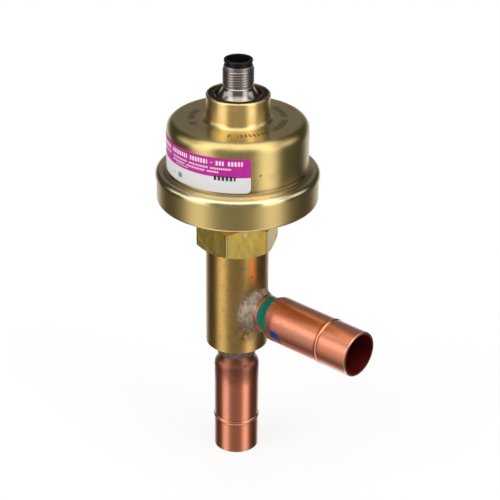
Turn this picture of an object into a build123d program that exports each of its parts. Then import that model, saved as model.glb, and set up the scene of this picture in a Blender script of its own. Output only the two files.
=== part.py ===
from build123d import *
import os
from math import acos, cos, degrees, pi, radians, sin, tan

# Step-motor modulating valve for refrigeration lines.
# Millimetres. The origin is the centre of the bottom socket's mouth, +Z runs up the valve's
# axis and +X along the side fitting.

# Clearances
braze_gap = 0.05
press_gap = 0.02
running_gap = 0.05
seat_gap = 0.1
loose_gap = 0.3

# Copper solder fittings, both of one kind
tube_od = 18.1
socket_bore = 16.0
socket_depth = 14.3
stop_step = 0.3
bead_rise = 0.3
bead_width = 1.6
tube_length = 38.5
shoulder_length = 5.0
neck_od = 15.0
neck_wall = 1.0
neck_show = 6.0
bottom_insert = 6.0
mouth_chamfer = 0.25

# Brass body
body_od = 24.8
body_length = 43.0
chamber_bore = 19.0
port_bore = 12.0
port_web = 2.0
seat_pocket_depth = 1.5
body_chamfer = 0.4
side_height = 18.0
side_reach = 62.4
side_neck_show = 5.5
side_insert = 2.2

# Adapter between body and housing
hex_across_flats = 28.6
hex_height = 13.5
hex_turn = -2.7
hex_chamfer_angle = 30.0
hex_chamfer_face = 25.6
spigot_length = 14.5
guide_bore = 15.1
guide_depth_in_hex = 3.5
collar_bore = 9.6
bush_od = 10.0
boss_od = 26.0
boss_height = 7.0
pilot_od = 13.0
pilot_rise = 0.8

# Lower housing, a drawn cup
band_od = 62.5
cup_height = 10.2
sheet = 1.6
cup_corner = 1.2

# Top housing, a drawn dome with a neck and a rolled rim
shell = 1.5
rim_overhang = 0.53
rim_roll = 1.6
rim_height = 2.3
rim_spigot = 2.5
dome_od = 54.4
dome_height = 20.6
dome_shoulder = 3.8
dome_foot = 2.2
neck_height = 10.3
housing_neck_od = 24.3
housing_neck_wall = 0.8
neck_foot = 2.0
neck_rim = 0.75
neck_swell = 0.25
neck_swell_height = 2.5
neck_swell_round = 8.0
neck_ledge_depth = 7.0
header_ledge = 0.75

# Connector in the neck
thread_od = 11.9
stub_bore = 10.2
stub_rise = 11.4
flare_top = 3.2
flare_od = 16.6
flange_od = 18.3
flange_top = 3.0
stub_chamfer = 0.5
header_height = 3.0
insert_height = 6.7
pin_radius = 0.5
pin_circle = 2.9
pin_count = 4
pin_turn = 45.0
pin_rise = 11.2
glass_radius = 1.1
sleeve_wall = 0.25
sleeve_height = 3.9
ring_height = 3.5
ring_outer_round = 0.5
ring_inner_round = 0.3

# Dust plug
plug_rise = 2.2
plug_depth = 3.3
plug_floor = 1.0
plug_wall = 0.6
plug_tip_taper = 0.2
plug_lip_od = 10.94
plug_lip_height = 0.9
plug_tip_round = 0.3
plug_edge_round = 0.2
plug_lip_round = 0.35
plug_floor_round = 0.4

# Rating label on the dome wall
label_thickness = 0.15
label_bottom = 14.3
label_height = 13.7
label_start = -37.5
label_arc = 147.0
label_corner = 1.7

# Gear train: rotor pinion, two moulded idlers and the output gear on the lead screw
gear_module = 0.5
pressure_angle = 20.0
backlash = 0.12
addendum_factor = 0.8
dedendum_factor = 1.25
pinion_teeth = 12
idler_1_teeth = 36
idler_2_teeth = 41
output_teeth = 24
gear_face = 2.2
gear_space = 0.8
hub_step = 0.1
idler_1_angle = 90.0
arbor_radius = 1.0

# Gearbox frame
plate_clearance = 0.5
bottom_plate = 1.2
top_plate = 1.2
pilot_clearance = 0.5
post_radius = 1.6
post_spigot = 1.0
post_circle = 22.2
post_count = 3
post_turn = 30.0

# Step motor
stator_clearance = 0.8
stator_sheet = 1.0
half_stack = 7.2
air_gap = 0.4
claw_thickness = 0.8
claw_count = 12
claw_width = 2.4
claw_tip_gap = 0.8
bobbin_wall = 0.7
bobbin_gap = 0.1
winding_inset = 1.3
magnet_od = 24.0
magnet_wall = 3.0
rotor_end_gap = 0.2
shaft_radius = 1.5
shaft_end = 0.5
bush_radius = 3.0
bush_flange = 4.5
bush_flange_height = 0.8
end_plate = 1.2
lead_radius = 0.4
lead_circle = 17.0
lead_count = 4
lead_turn = 45.0
lead_bend = 0.9
board_height = 1.0
board_rise = 0.6
spring_sheet = 0.5
spring_inset = 1.7

# Lead screw, piston and seat
screw_radius = 2.5
journal_radius = 2.0
groove_radius = 2.2
screw_collar_radius = 4.4
screw_collar = 2.0
washer_height = 0.5
ring_sheet = 0.6
ring_space = 1.2
ring_radius = 4.2
ring_opening = 60.0
stroke = 6.35
piston_length = 24.0
piston_floor = 4.0
piston_bore = 6.0
nut_radius = 4.5
nut_length = 8.0
seal_inset = 0.5
seal_height = 1.5
seal_screw_head = 3.0
seal_screw_head_height = 1.4
seal_screw_radius = 1.2
seal_screw_round = 0.5
seat_ring_od = 14.9
seat_ring_height = 2.3
seat_lip = 0.6
key_radius = 1.0
key_depth = 1.4
key_height = 3.0

# Braze fillets
bottom_braze_foot = 1.9
bottom_braze_height = 5.4
bottom_braze_round = 2.0
side_braze_foot = 3.4
side_braze_reach = 4.0
side_braze_sweep = 80.0
braze_edge = 0.15
housing_braze_leg = 1.3

# Heights that follow from the sizes above
neck_start = tube_length + shoulder_length
body_bottom = neck_start + neck_show
tube_end = body_bottom + bottom_insert
seat_pocket = tube_end + port_web
chamber_floor = seat_pocket + seat_pocket_depth
body_top = body_bottom + body_length
side_axis = body_bottom + side_height
spigot_bottom = body_top - spigot_length
guide_top = body_top + guide_depth_in_hex
hex_top = body_top + hex_height
cup_bottom = hex_top + boss_height
cup_floor = cup_bottom + sheet
pilot_top = cup_floor + pilot_rise
cup_top = cup_bottom + cup_height
rim_top = cup_top + rim_height
dome_top = rim_top + dome_height
dome_ceiling = dome_top - shell
neck_top = dome_top + neck_height
header_bottom = neck_top - neck_ledge_depth
header_top = header_bottom + header_height
stub_top = neck_top + stub_rise
plug_top = stub_top + plug_rise
plug_bottom = stub_top - plug_depth

# Radii that follow
tube_r = tube_od / 2
neck_r = neck_od / 2
body_r = body_od / 2
chamber_r = chamber_bore / 2
guide_r = guide_bore / 2
dome_r = dome_od / 2
band_r = band_od / 2
rim_r = band_r + rim_overhang
housing_neck_r = housing_neck_od / 2
neck_bore_r = housing_neck_r - housing_neck_wall
header_bore_r = neck_bore_r - header_ledge
board_r = header_bore_r - loose_gap
stub_bore_r = stub_bore / 2
plate_r = dome_r - shell - plate_clearance
stator_r = dome_r - shell - stator_clearance
end_plate_r = stator_r - stator_sheet
rotor_r = magnet_od / 2
claw_in = rotor_r + air_gap
claw_out = claw_in + claw_thickness

# Levels of the gearbox and the motor, from the cup's floor upwards
bottom_plate_top = cup_floor + bottom_plate
ring_bottom = pilot_top + 2 * press_gap
level_c = ring_bottom + ring_sheet + ring_space
level_b = level_c + gear_face + gear_space
level_a = level_b + gear_face + gear_space
top_plate_bottom = level_a + gear_face + gear_space
stator_bottom = top_plate_bottom + top_plate
stator_middle = stator_bottom + half_stack
stator_top = stator_middle + half_stack
end_plate_top = stator_top + end_plate
hub_bottom = stator_bottom + bush_flange_height + rotor_end_gap
hub_top = stator_top - bush_flange_height - rotor_end_gap

# Gear places
pitch_idler_1 = gear_module * (pinion_teeth + idler_1_teeth) / 2
pitch_idlers = gear_module * (pinion_teeth + idler_2_teeth) / 2
pitch_output = gear_module * (pinion_teeth + output_teeth) / 2
idler_2_angle = idler_1_angle + degrees(
    acos((pitch_idler_1**2 + pitch_output**2 - pitch_idlers**2) / (2 * pitch_idler_1 * pitch_output))
)
idler_1_place = Vector(pitch_idler_1, 0).rotate(Axis.Z, idler_1_angle)
idler_2_place = Vector(pitch_output, 0).rotate(Axis.Z, idler_2_angle)

# Piston and screw heights with the valve closed
seat_top = seat_pocket + seat_ring_height
seal_bottom = seat_top + seat_gap
piston_bottom = seal_bottom + seal_height
piston_top = piston_bottom + piston_length
piston_cavity = piston_bottom + piston_floor
screw_bottom = piston_cavity + stroke + loose_gap
bush_bottom = hex_top
washer_bottom = bush_bottom - washer_height
screw_collar_bottom = washer_bottom - press_gap - screw_collar
key_z = spigot_bottom + key_height


def turned(points, radii):
    """A revolved piece: its half section as (radius, height) corners, each with its own rounding."""
    with BuildPart() as piece:
        with BuildSketch(Plane.XZ):
            with BuildLine():
                FilletPolyline(*points, radius=radii, close=True)
            make_face()
        revolve(axis=Axis.Z)
    return piece


def ring(inner, outer, low, high):
    """A plain ring, or a disc where the inner radius is nought."""
    with BuildPart() as piece:
        with BuildSketch(Plane.XY.offset(low)):
            Circle(outer)
            if inner > 0:
                Circle(inner, mode=Mode.SUBTRACT)
        extrude(amount=high - low)
    return piece


def socket_fitting(plane, barrel_end, neck_length):
    """A solder fitting along a plane's normal: socket, bead, long barrel, rounded shoulder and neck."""
    stop_r = socket_bore / 2 - stop_step
    neck_in = neck_r - neck_wall
    shoulder_mid = barrel_end + shoulder_length / 2
    shoulder_end = barrel_end + shoulder_length
    total = shoulder_end + neck_length
    bead_low = socket_depth - bead_width / 2
    bead_high = socket_depth + bead_width / 2
    with BuildPart() as piece:
        with BuildSketch(Plane.XZ):
            with BuildLine():
                Polyline(
                    (socket_bore / 2, 0),
                    (tube_r - mouth_chamfer, 0),
                    (tube_r, mouth_chamfer),
                    (tube_r, bead_low),
                )
                ThreePointArc((tube_r, bead_low), (tube_r + bead_rise, socket_depth), (tube_r, bead_high))
                Line((tube_r, bead_high), (tube_r, barrel_end))
                bulge = TangentArc(
                    (tube_r, barrel_end), ((tube_r + neck_r) / 2, shoulder_mid), tangent=(0, 1)
                )
                TangentArc(bulge @ 1, (neck_r, shoulder_end), tangent=bulge % 1)
                Polyline(
                    (neck_r, shoulder_end),
                    (neck_r, total),
                    (neck_in, total),
                    (neck_in, shoulder_end),
                )
                hollow = TangentArc(
                    (neck_in, shoulder_end), ((stop_r + neck_in) / 2, shoulder_mid), tangent=(0, -1)
                )
                TangentArc(hollow @ 1, (stop_r, barrel_end), tangent=hollow % 1)
                Polyline(
                    (stop_r, barrel_end),
                    (stop_r, socket_depth),
                    (socket_bore / 2, socket_depth),
                    (socket_bore / 2, 0),
                )
            make_face()
        revolve(axis=Axis.Z)
    with BuildPart() as placed:
        add(piece.part.moved(plane.location))
    return placed


def tooth_radii(teeth):
    """Root, base, pitch and tip radius of a gear."""
    pitch = gear_module * teeth / 2
    base = pitch * cos(radians(pressure_angle))
    return pitch - dedendum_factor * gear_module, base, pitch, pitch + addendum_factor * gear_module


def half_tooth(teeth, radius):
    """Half of a tooth's angle at a radius, in degrees, on an involute flank."""
    base, pitch = tooth_radii(teeth)[1:3]
    slope = radians(pressure_angle)
    rolled = acos(min(1, base / radius))
    at_pitch = (pi * gear_module / 2 - backlash) / 2 / pitch
    return degrees(at_pitch + tan(slope) - slope - tan(rolled) + rolled)


def gear_outline(teeth, phase):
    """The closed outline of a spur gear with a tooth at the angle called phase."""
    root, base, pitch, tip = tooth_radii(teeth)
    step = 360 / teeth
    at_base = half_tooth(teeth, base)
    at_pitch = half_tooth(teeth, pitch)
    at_tip = half_tooth(teeth, tip)

    def spot(radius, angle):
        return Vector(radius, 0).rotate(Axis.Z, angle)

    with BuildLine() as outline:
        for index in range(teeth):
            middle = phase + index * step
            Line(spot(root, middle - at_base), spot(base, middle - at_base))
            ThreePointArc(
                spot(base, middle - at_base), spot(pitch, middle - at_pitch), spot(tip, middle - at_tip)
            )
            Line(spot(tip, middle - at_tip), spot(tip, middle + at_tip))
            ThreePointArc(
                spot(tip, middle + at_tip), spot(pitch, middle + at_pitch), spot(base, middle + at_base)
            )
            Line(spot(base, middle + at_base), spot(root, middle + at_base))
            Line(spot(root, middle + at_base), spot(root, middle + step - at_base))
    return outline


def meshing_phase(driver_teeth, driver_phase, driven_teeth, direction):
    """The tooth angle that puts a driven gear, lying in a direction from its driver, in mesh."""
    turned_by = driver_teeth * (direction - driver_phase) / 360
    return direction + 180 + 360 / driven_teeth * (0.5 + turned_by)


def gear_wheel(teeth, phase, low):
    """A spur gear's toothed disc about the Z axis, from a height upwards."""
    with BuildPart() as piece:
        with BuildSketch(Plane.XY.offset(low)):
            with BuildLine():
                add(gear_outline(teeth, phase).line)
            make_face()
        extrude(amount=gear_face)
    return piece.part


def direction_of(start, finish):
    """The angle of the line from one gear's axis to another's."""
    return Vector(1, 0).get_signed_angle(finish - start, Vector(0, 0, 1))


# The copper fittings
bottom_tube = socket_fitting(Plane.XY, tube_length, neck_show + bottom_insert)
side_barrel_end = side_reach - body_r - side_neck_show - shoulder_length
side_plane = Plane(origin=(side_reach, 0, side_axis), x_dir=(0, 1, 0), z_dir=(-1, 0, 0))
side_tube = socket_fitting(side_plane, side_barrel_end, side_neck_show + side_insert)

# The body, bored from both ends and through one side
neck_hole_r = neck_r + braze_gap
with BuildPart() as valve_body:
    with BuildSketch(Plane.XZ):
        Polygon(
            (neck_hole_r, body_bottom),
            (body_r, body_bottom),
            (body_r, body_top),
            (chamber_r, body_top),
            (chamber_r, chamber_floor),
            (seat_ring_od / 2 + press_gap, chamber_floor),
            (seat_ring_od / 2 + press_gap, seat_pocket),
            (port_bore / 2, seat_pocket),
            (port_bore / 2, tube_end),
            (neck_hole_r, tube_end),
            align=None,
        )
    revolve(axis=Axis.Z)
    outer_rim = valve_body.edges().filter_by(GeomType.CIRCLE).group_by(Axis.Z)[0].sort_by(SortBy.RADIUS)[-1]
    chamfer(outer_rim, length=body_chamfer)
    with BuildSketch(Plane.YZ):
        with Locations((0, side_axis)):
            Circle(neck_hole_r)
    extrude(amount=body_od, mode=Mode.SUBTRACT)

seat_ring = turned(
    [
        (port_bore / 2 + seat_lip, seat_top),
        (port_bore / 2, seat_top - seat_lip),
        (port_bore / 2, seat_pocket),
        (seat_ring_od / 2, seat_pocket),
        (seat_ring_od / 2, chamber_floor),
        (port_bore / 2 + 2 * seat_lip, seat_top),
    ],
    [0] * 6,
)

# Braze metal: a collar under the body and a saddle round the side neck
bottom_braze = turned(
    [
        (neck_r + press_gap, body_bottom - bottom_braze_height),
        (neck_r + press_gap + braze_edge, body_bottom - bottom_braze_height),
        (neck_r + braze_edge + bottom_braze_foot / 3, body_bottom - bottom_braze_height / 3),
        (neck_r + bottom_braze_foot, body_bottom),
        (neck_r + press_gap, body_bottom),
    ],
    [0, 0, bottom_braze_round, 0, 0],
)

with BuildPart() as side_braze:
    with BuildSketch(Plane.XZ):
        with BuildLine():
            low = side_axis + neck_r + press_gap
            saddle_end = body_r + side_braze_reach
            Polyline((0, low), (saddle_end, low), (saddle_end, low + braze_edge))
            saddle = JernArc(
                start=(saddle_end, low + braze_edge),
                tangent=(-1, 0),
                radius=side_braze_foot,
                arc_size=-side_braze_sweep,
            )
            Polyline(saddle @ 1, (0, (saddle @ 1).Y), (0, low))
        make_face()
    revolve(axis=Axis((0, 0, side_axis), (1, 0, 0)))
    with BuildSketch(Plane.XY.offset(body_bottom)):
        Circle(body_r + press_gap)
    extrude(amount=body_length, mode=Mode.SUBTRACT)

# The adapter: a hexagon prism cut back by a cone at each end, with its spigot, boss and pilot
hex_r = hex_across_flats / 2
hex_corner = hex_r / cos(radians(30))
chamfer_drop = (hex_corner - hex_chamfer_face / 2) * tan(radians(hex_chamfer_angle))
with BuildPart() as hex_adapter:
    with BuildSketch(Plane.XY.offset(body_top)):
        RegularPolygon(hex_r, 6, major_radius=False, rotation=hex_turn)
    extrude(amount=hex_height)
    with BuildSketch(Plane.XZ):
        Polygon(
            (0, body_top),
            (hex_chamfer_face / 2, body_top),
            (hex_corner, body_top + chamfer_drop),
            (hex_corner, hex_top - chamfer_drop),
            (hex_chamfer_face / 2, hex_top),
            (0, hex_top),
            align=None,
        )
    revolve(axis=Axis.Z, mode=Mode.INTERSECT)
    with BuildSketch(Plane.XZ):
        Polygon(
            (0, spigot_bottom),
            (chamber_r - braze_gap, spigot_bottom),
            (chamber_r - braze_gap, hex_top),
            (boss_od / 2, hex_top),
            (boss_od / 2, cup_bottom),
            (pilot_od / 2, cup_bottom),
            (pilot_od / 2, pilot_top),
            (0, pilot_top),
            align=None,
        )
    revolve(axis=Axis.Z)
    with BuildSketch(Plane.XZ):
        Polygon(
            (0, spigot_bottom),
            (guide_r, spigot_bottom),
            (guide_r, guide_top),
            (collar_bore / 2, guide_top),
            (collar_bore / 2, bush_bottom),
            (bush_od / 2 + press_gap, bush_bottom),
            (bush_od / 2 + press_gap, pilot_top),
            (0, pilot_top),
            align=None,
        )
    revolve(axis=Axis.Z, mode=Mode.SUBTRACT)
    with BuildSketch(Plane.XZ):
        with Locations((0, key_z)):
            Circle(key_radius + press_gap)
    extrude(amount=-chamber_bore, mode=Mode.SUBTRACT)

housing_braze = turned(
    [
        (boss_od / 2 + press_gap, cup_bottom),
        (boss_od / 2 + press_gap, cup_bottom - housing_braze_leg),
        (boss_od / 2 + housing_braze_leg, cup_bottom),
    ],
    [0, 0, 0],
)

# The housings
lower_housing = turned(
    [
        (pilot_od / 2 + press_gap, cup_bottom),
        (band_r, cup_bottom),
        (band_r, cup_top),
        (band_r - shell, cup_top),
        (band_r - shell, cup_floor),
        (pilot_od / 2 + press_gap, cup_floor),
    ],
    [0, cup_corner, 0, 0, cup_corner / 2, 0],
)

spigot_r = band_r - shell - braze_gap
top_housing = turned(
    [
        (neck_bore_r, neck_top),
        (housing_neck_r + neck_swell, neck_top),
        (housing_neck_r, neck_top - neck_swell_height),
        (housing_neck_r, dome_top),
        (dome_r, dome_top),
        (dome_r, rim_top),
        (rim_r, rim_top),
        (rim_r, cup_top),
        (spigot_r, cup_top),
        (spigot_r, cup_top - rim_spigot),
        (spigot_r - shell, cup_top - rim_spigot),
        (spigot_r - shell, rim_top - shell),
        (dome_r - shell, rim_top - shell),
        (dome_r - shell, dome_ceiling),
        (header_bore_r, dome_ceiling),
        (header_bore_r, header_bottom),
        (neck_bore_r, header_bottom),
    ],
    [
        neck_rim / 4,
        neck_rim,
        neck_swell_round,
        neck_foot,
        dome_shoulder,
        dome_foot,
        rim_roll,
        0,
        0,
        0,
        0,
        0,
        0,
        dome_shoulder - shell,
        0,
        0,
        0,
    ],
)

with BuildPart() as rating_label:
    with BuildSketch(Plane.XZ):
        with Locations((dome_r + press_gap, cup_bottom + label_bottom)):
            Rectangle(label_thickness, label_height, align=(Align.MIN, Align.MIN))
    revolve(axis=Axis.Z, revolution_arc=-label_arc)
    fillet(
        rating_label.edges().filter_by(lambda edge: edge.length < 2 * label_thickness),
        radius=label_corner,
    )
with BuildPart() as turned_label:
    add(rating_label.part.moved(Location((0, 0, 0), (0, 0, label_start))))
rating_label = turned_label

# The connector in the neck
flange_r = flange_od / 2
with BuildPart() as connector_stub:
    with BuildSketch(Plane.XZ):
        with BuildLine():
            Polyline(
                (stub_bore_r, header_top),
                (flange_r, header_top),
                (flange_r, header_top + flange_top),
                (flare_od / 2, header_top + flange_top),
            )
            TangentArc(
                (thread_od / 2, neck_top + flare_top),
                (flare_od / 2, header_top + flange_top),
                tangent=(0, -1),
            )
            Polyline(
                (thread_od / 2, neck_top + flare_top),
                (thread_od / 2, stub_top - stub_chamfer),
                (thread_od / 2 - stub_chamfer, stub_top),
                (stub_bore_r, stub_top),
                (stub_bore_r, header_top),
            )
        make_face()
    revolve(axis=Axis.Z)

sleeve_in = flange_r + braze_gap
sleeve_out = sleeve_in + sleeve_wall
gland_sleeve = ring(sleeve_in, sleeve_out, header_top, header_top + sleeve_height)
neck_seal_ring = turned(
    [
        (sleeve_out + braze_gap, header_top),
        (neck_bore_r - braze_gap, header_top),
        (neck_bore_r - braze_gap, header_top + ring_height),
        (sleeve_out + braze_gap, header_top + ring_height),
    ],
    [0, 0, ring_outer_round, ring_inner_round],
)

pin_spots = PolarLocations(pin_circle, pin_count, start_angle=pin_turn)
lead_spots = PolarLocations(lead_circle, lead_count, start_angle=lead_turn)
board_bottom = end_plate_top + board_rise + 2 * lead_radius
board_top = board_bottom + board_height
pin_top = header_top + pin_rise
with BuildPart() as pin_header:
    with BuildSketch(Plane.XY.offset(header_bottom)):
        Circle(neck_bore_r - braze_gap)
        with pin_spots:
            Circle(glass_radius + press_gap, mode=Mode.SUBTRACT)
    extrude(amount=header_height)

with BuildPart() as glass_seals:
    with BuildSketch(Plane.XY.offset(header_bottom)):
        with pin_spots:
            Circle(glass_radius)
            Circle(pin_radius + press_gap, mode=Mode.SUBTRACT)
    extrude(amount=header_height)

with BuildPart() as contact_pins:
    with BuildSketch(Plane.XY.offset(board_bottom)):
        with pin_spots:
            Circle(pin_radius)
    extrude(amount=pin_top - board_bottom)
    chamfer(contact_pins.edges().filter_by(GeomType.CIRCLE).group_by(Axis.Z)[-1], length=pin_radius / 3)

with BuildPart() as contact_insert:
    with BuildSketch(Plane.XY.offset(header_top)):
        Circle(stub_bore_r - braze_gap)
        with pin_spots:
            Circle(pin_radius + press_gap, mode=Mode.SUBTRACT)
    extrude(amount=insert_height)

with BuildPart() as terminal_board:
    with BuildSketch(Plane.XY.offset(board_bottom)):
        Circle(board_r)
        with pin_spots:
            Circle(pin_radius + press_gap, mode=Mode.SUBTRACT)
    extrude(amount=board_height)

plug_r = stub_bore_r - running_gap
plug_lip_r = plug_lip_od / 2
dust_plug = turned(
    [
        (0, plug_bottom),
        (plug_r - plug_tip_taper, plug_bottom),
        (plug_r, stub_top - plug_floor),
        (plug_r, stub_top + plug_rise / 2 - plug_lip_height / 4),
        (plug_lip_r, plug_top - plug_lip_height),
        (plug_lip_r, plug_top),
        (plug_r - plug_wall, plug_top),
        (plug_r - plug_wall, plug_bottom + plug_floor),
        (0, plug_bottom + plug_floor),
    ],
    [0, plug_tip_round, 0, plug_edge_round, plug_edge_round, plug_lip_round, plug_edge_round, plug_floor_round, 0],
)

# The gearbox frame
post_spots = PolarLocations(post_circle, post_count, start_angle=post_turn)


def arbor_spots():
    """Both idler arbors' places."""
    return Locations((idler_1_place.X, idler_1_place.Y), (idler_2_place.X, idler_2_place.Y))


with BuildPart() as gearbox_bottom_plate:
    with BuildSketch(Plane.XY.offset(cup_floor)):
        Circle(plate_r)
        Circle(pilot_od / 2 + pilot_clearance, mode=Mode.SUBTRACT)
        with post_spots:
            Circle(post_spigot + press_gap, mode=Mode.SUBTRACT)
        with arbor_spots():
            Circle(arbor_radius + press_gap, mode=Mode.SUBTRACT)
    extrude(amount=bottom_plate)

with BuildPart() as gearbox_top_plate:
    with BuildSketch(Plane.XY.offset(top_plate_bottom)):
        Circle(plate_r)
        Circle(bush_radius + press_gap, mode=Mode.SUBTRACT)
        with post_spots:
            Circle(post_spigot + press_gap, mode=Mode.SUBTRACT)
        with arbor_spots():
            Circle(arbor_radius + press_gap, mode=Mode.SUBTRACT)
    extrude(amount=top_plate)

with BuildPart() as gearbox_posts:
    with BuildSketch(Plane.XY.offset(bottom_plate_top)):
        with post_spots:
            Circle(post_radius)
    extrude(amount=top_plate_bottom - bottom_plate_top)
    with BuildSketch(Plane.XY.offset(cup_floor)):
        with post_spots:
            Circle(post_spigot)
    extrude(amount=stator_bottom - cup_floor)

with BuildPart() as idler_arbor_1:
    with BuildSketch(Plane.XY.offset(cup_floor)):
        with Locations((idler_1_place.X, idler_1_place.Y)):
            Circle(arbor_radius)
    extrude(amount=stator_bottom - cup_floor)

with BuildPart() as idler_arbor_2:
    with BuildSketch(Plane.XY.offset(cup_floor)):
        with Locations((idler_2_place.X, idler_2_place.Y)):
            Circle(arbor_radius)
    extrude(amount=stator_bottom - cup_floor)

# The gears, in mesh with the valve closed
rotor_phase = 0.0
idler_1_phase = meshing_phase(pinion_teeth, rotor_phase, idler_1_teeth, idler_1_angle)
to_idler_2 = direction_of(idler_1_place, idler_2_place)
idler_2_phase = meshing_phase(pinion_teeth, idler_1_phase, idler_2_teeth, to_idler_2)
to_output = direction_of(idler_2_place, Vector(0, 0))
output_phase = meshing_phase(pinion_teeth, idler_2_phase, output_teeth, to_output)
hub_radius = tooth_radii(pinion_teeth)[0] - hub_step
arbor_bore = arbor_radius + running_gap

with BuildPart() as rotor_shaft:
    add(gear_wheel(pinion_teeth, rotor_phase, level_a))
    with BuildSketch(Plane.XY.offset(level_a)):
        Circle(shaft_radius)
    extrude(amount=end_plate_top + shaft_end - level_a)

with BuildPart() as idler_1_at_centre:
    add(gear_wheel(idler_1_teeth, idler_1_phase, level_a))
    add(gear_wheel(pinion_teeth, idler_1_phase, level_b))
    with BuildSketch(Plane.XY.offset(level_b + gear_face)):
        Circle(hub_radius)
    extrude(amount=gear_space)
    with BuildSketch(Plane.XY.offset(bottom_plate_top)):
        Circle(arbor_bore)
    extrude(amount=stator_bottom - bottom_plate_top, mode=Mode.SUBTRACT)
with BuildPart() as idler_gear_1:
    add(idler_1_at_centre.part.moved(Location(idler_1_place)))

with BuildPart() as idler_2_at_centre:
    add(gear_wheel(idler_2_teeth, idler_2_phase, level_b))
    add(gear_wheel(pinion_teeth, idler_2_phase, level_c))
    with BuildSketch(Plane.XY.offset(level_c + gear_face)):
        Circle(hub_radius)
    extrude(amount=gear_space)
    with BuildSketch(Plane.XY.offset(bottom_plate_top)):
        Circle(arbor_bore)
    extrude(amount=stator_bottom - bottom_plate_top, mode=Mode.SUBTRACT)
with BuildPart() as idler_gear_2:
    add(idler_2_at_centre.part.moved(Location(idler_2_place)))

with BuildPart() as output_gear:
    add(gear_wheel(output_teeth, output_phase, level_c))
    with BuildSketch(Plane.XY.offset(level_c)):
        Circle(journal_radius + press_gap)
    extrude(amount=gear_face, mode=Mode.SUBTRACT)

# The lead screw with its bearing
lead_screw = turned(
    [
        (0, screw_bottom),
        (screw_radius, screw_bottom),
        (screw_radius, screw_collar_bottom),
        (screw_collar_radius, screw_collar_bottom),
        (screw_collar_radius, washer_bottom - press_gap),
        (screw_radius, washer_bottom - press_gap),
        (screw_radius, ring_bottom),
        (groove_radius, ring_bottom),
        (groove_radius, ring_bottom + ring_sheet + press_gap),
        (screw_radius, ring_bottom + ring_sheet + press_gap),
        (screw_radius, level_c),
        (journal_radius, level_c),
        (journal_radius, level_c + gear_face),
        (0, level_c + gear_face),
    ],
    [0] * 14,
)
bush_bore = screw_radius + running_gap
screw_bushing = ring(bush_bore, bush_od / 2, bush_bottom, pilot_top)
thrust_washer = ring(bush_bore, collar_bore / 2 - press_gap, washer_bottom, bush_bottom)

with BuildPart() as retaining_ring:
    with BuildSketch(Plane.XY.offset(ring_bottom)):
        Circle(ring_radius)
        Circle(groove_radius + press_gap, mode=Mode.SUBTRACT)
        with BuildLine():
            reach = 2 * ring_radius
            half = radians(ring_opening / 2)
            Polyline((0, 0), (reach * cos(half), reach * sin(half)), (reach * cos(half), -reach * sin(half)), (0, 0))
        make_face(mode=Mode.SUBTRACT)
    extrude(amount=ring_sheet)

# The piston with its nut, seal and key
piston_r = guide_r - running_gap
slot_bottom = key_z - key_radius - stroke - loose_gap
slot_top = key_z + key_radius + loose_gap
with BuildPart() as piston:
    with BuildSketch(Plane.XZ):
        Polygon(
            (seal_screw_radius + press_gap, piston_bottom),
            (piston_r, piston_bottom),
            (piston_r, piston_top),
            (nut_radius + press_gap, piston_top),
            (nut_radius + press_gap, piston_top - nut_length),
            (piston_bore / 2, piston_top - nut_length),
            (piston_bore / 2, piston_cavity),
            (seal_screw_radius + press_gap, piston_cavity),
            align=None,
        )
    revolve(axis=Axis.Z)
    with BuildSketch(Plane.XZ.offset(-(piston_r - key_depth - running_gap))):
        with Locations((0, (slot_bottom + slot_top) / 2)):
            SlotOverall(slot_top - slot_bottom, 2 * (key_radius + running_gap), rotation=90)
    extrude(amount=-2 * piston_r, mode=Mode.SUBTRACT)

piston_nut = ring(screw_radius + running_gap, nut_radius, piston_top - nut_length, piston_top)
piston_seal = ring(seal_screw_radius + press_gap, piston_r - seal_inset, seal_bottom, piston_bottom)
seal_screw = turned(
    [
        (0, seal_bottom - seal_screw_head_height),
        (seal_screw_head, seal_bottom - seal_screw_head_height),
        (seal_screw_head, seal_bottom),
        (seal_screw_radius, seal_bottom),
        (seal_screw_radius, piston_cavity),
        (0, piston_cavity),
    ],
    [0, seal_screw_round, 0, 0, 0, 0],
)

with BuildPart() as key_pin:
    with BuildSketch(Plane.XZ.offset(-(piston_r - key_depth))):
        with Locations((0, key_z)):
            Circle(key_radius)
    extrude(amount=-(chamber_r - braze_gap - piston_r + key_depth))


def pole_cup(floor, rim, claw_turn):
    """A drawn stator cup with claw poles round its bore, from its floor's height to its rim's."""
    upwards = 1 if rim > floor else -1
    with BuildPart() as piece:
        with BuildSketch(Plane.XY.offset(floor)):
            Circle(stator_r)
            Circle(claw_in, mode=Mode.SUBTRACT)
            if upwards < 0:
                with lead_spots:
                    Circle(lead_radius + loose_gap, mode=Mode.SUBTRACT)
        extrude(amount=upwards * stator_sheet)
        with BuildSketch(Plane.XY.offset(floor)):
            Circle(stator_r)
            Circle(stator_r - stator_sheet, mode=Mode.SUBTRACT)
        extrude(amount=rim - floor)
        add(claws(floor, rim - upwards * (stator_sheet + claw_tip_gap), claw_turn))
    return piece


def pole_plate(floor, claw_end, claw_turn):
    """A punched plate with its claw poles bent from the bore."""
    upwards = 1 if claw_end > floor else -1
    with BuildPart() as piece:
        with BuildSketch(Plane.XY.offset(floor)):
            Circle(stator_r - stator_sheet - braze_gap)
            Circle(claw_in, mode=Mode.SUBTRACT)
        extrude(amount=upwards * stator_sheet)
        add(claws(floor, claw_end - upwards * (stator_sheet + claw_tip_gap), claw_turn))
    return piece


def claws(start, end, claw_turn):
    """A ring of claw poles between two heights."""
    with BuildPart() as piece:
        with BuildSketch(Plane.XY.offset(start)):
            with PolarLocations((claw_in + claw_out) / 2, claw_count, start_angle=claw_turn):
                Rectangle(3 * claw_thickness, claw_width)
            Circle(claw_out, mode=Mode.INTERSECT)
            Circle(claw_in, mode=Mode.SUBTRACT)
        extrude(amount=end - start)
    return piece.part


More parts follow.
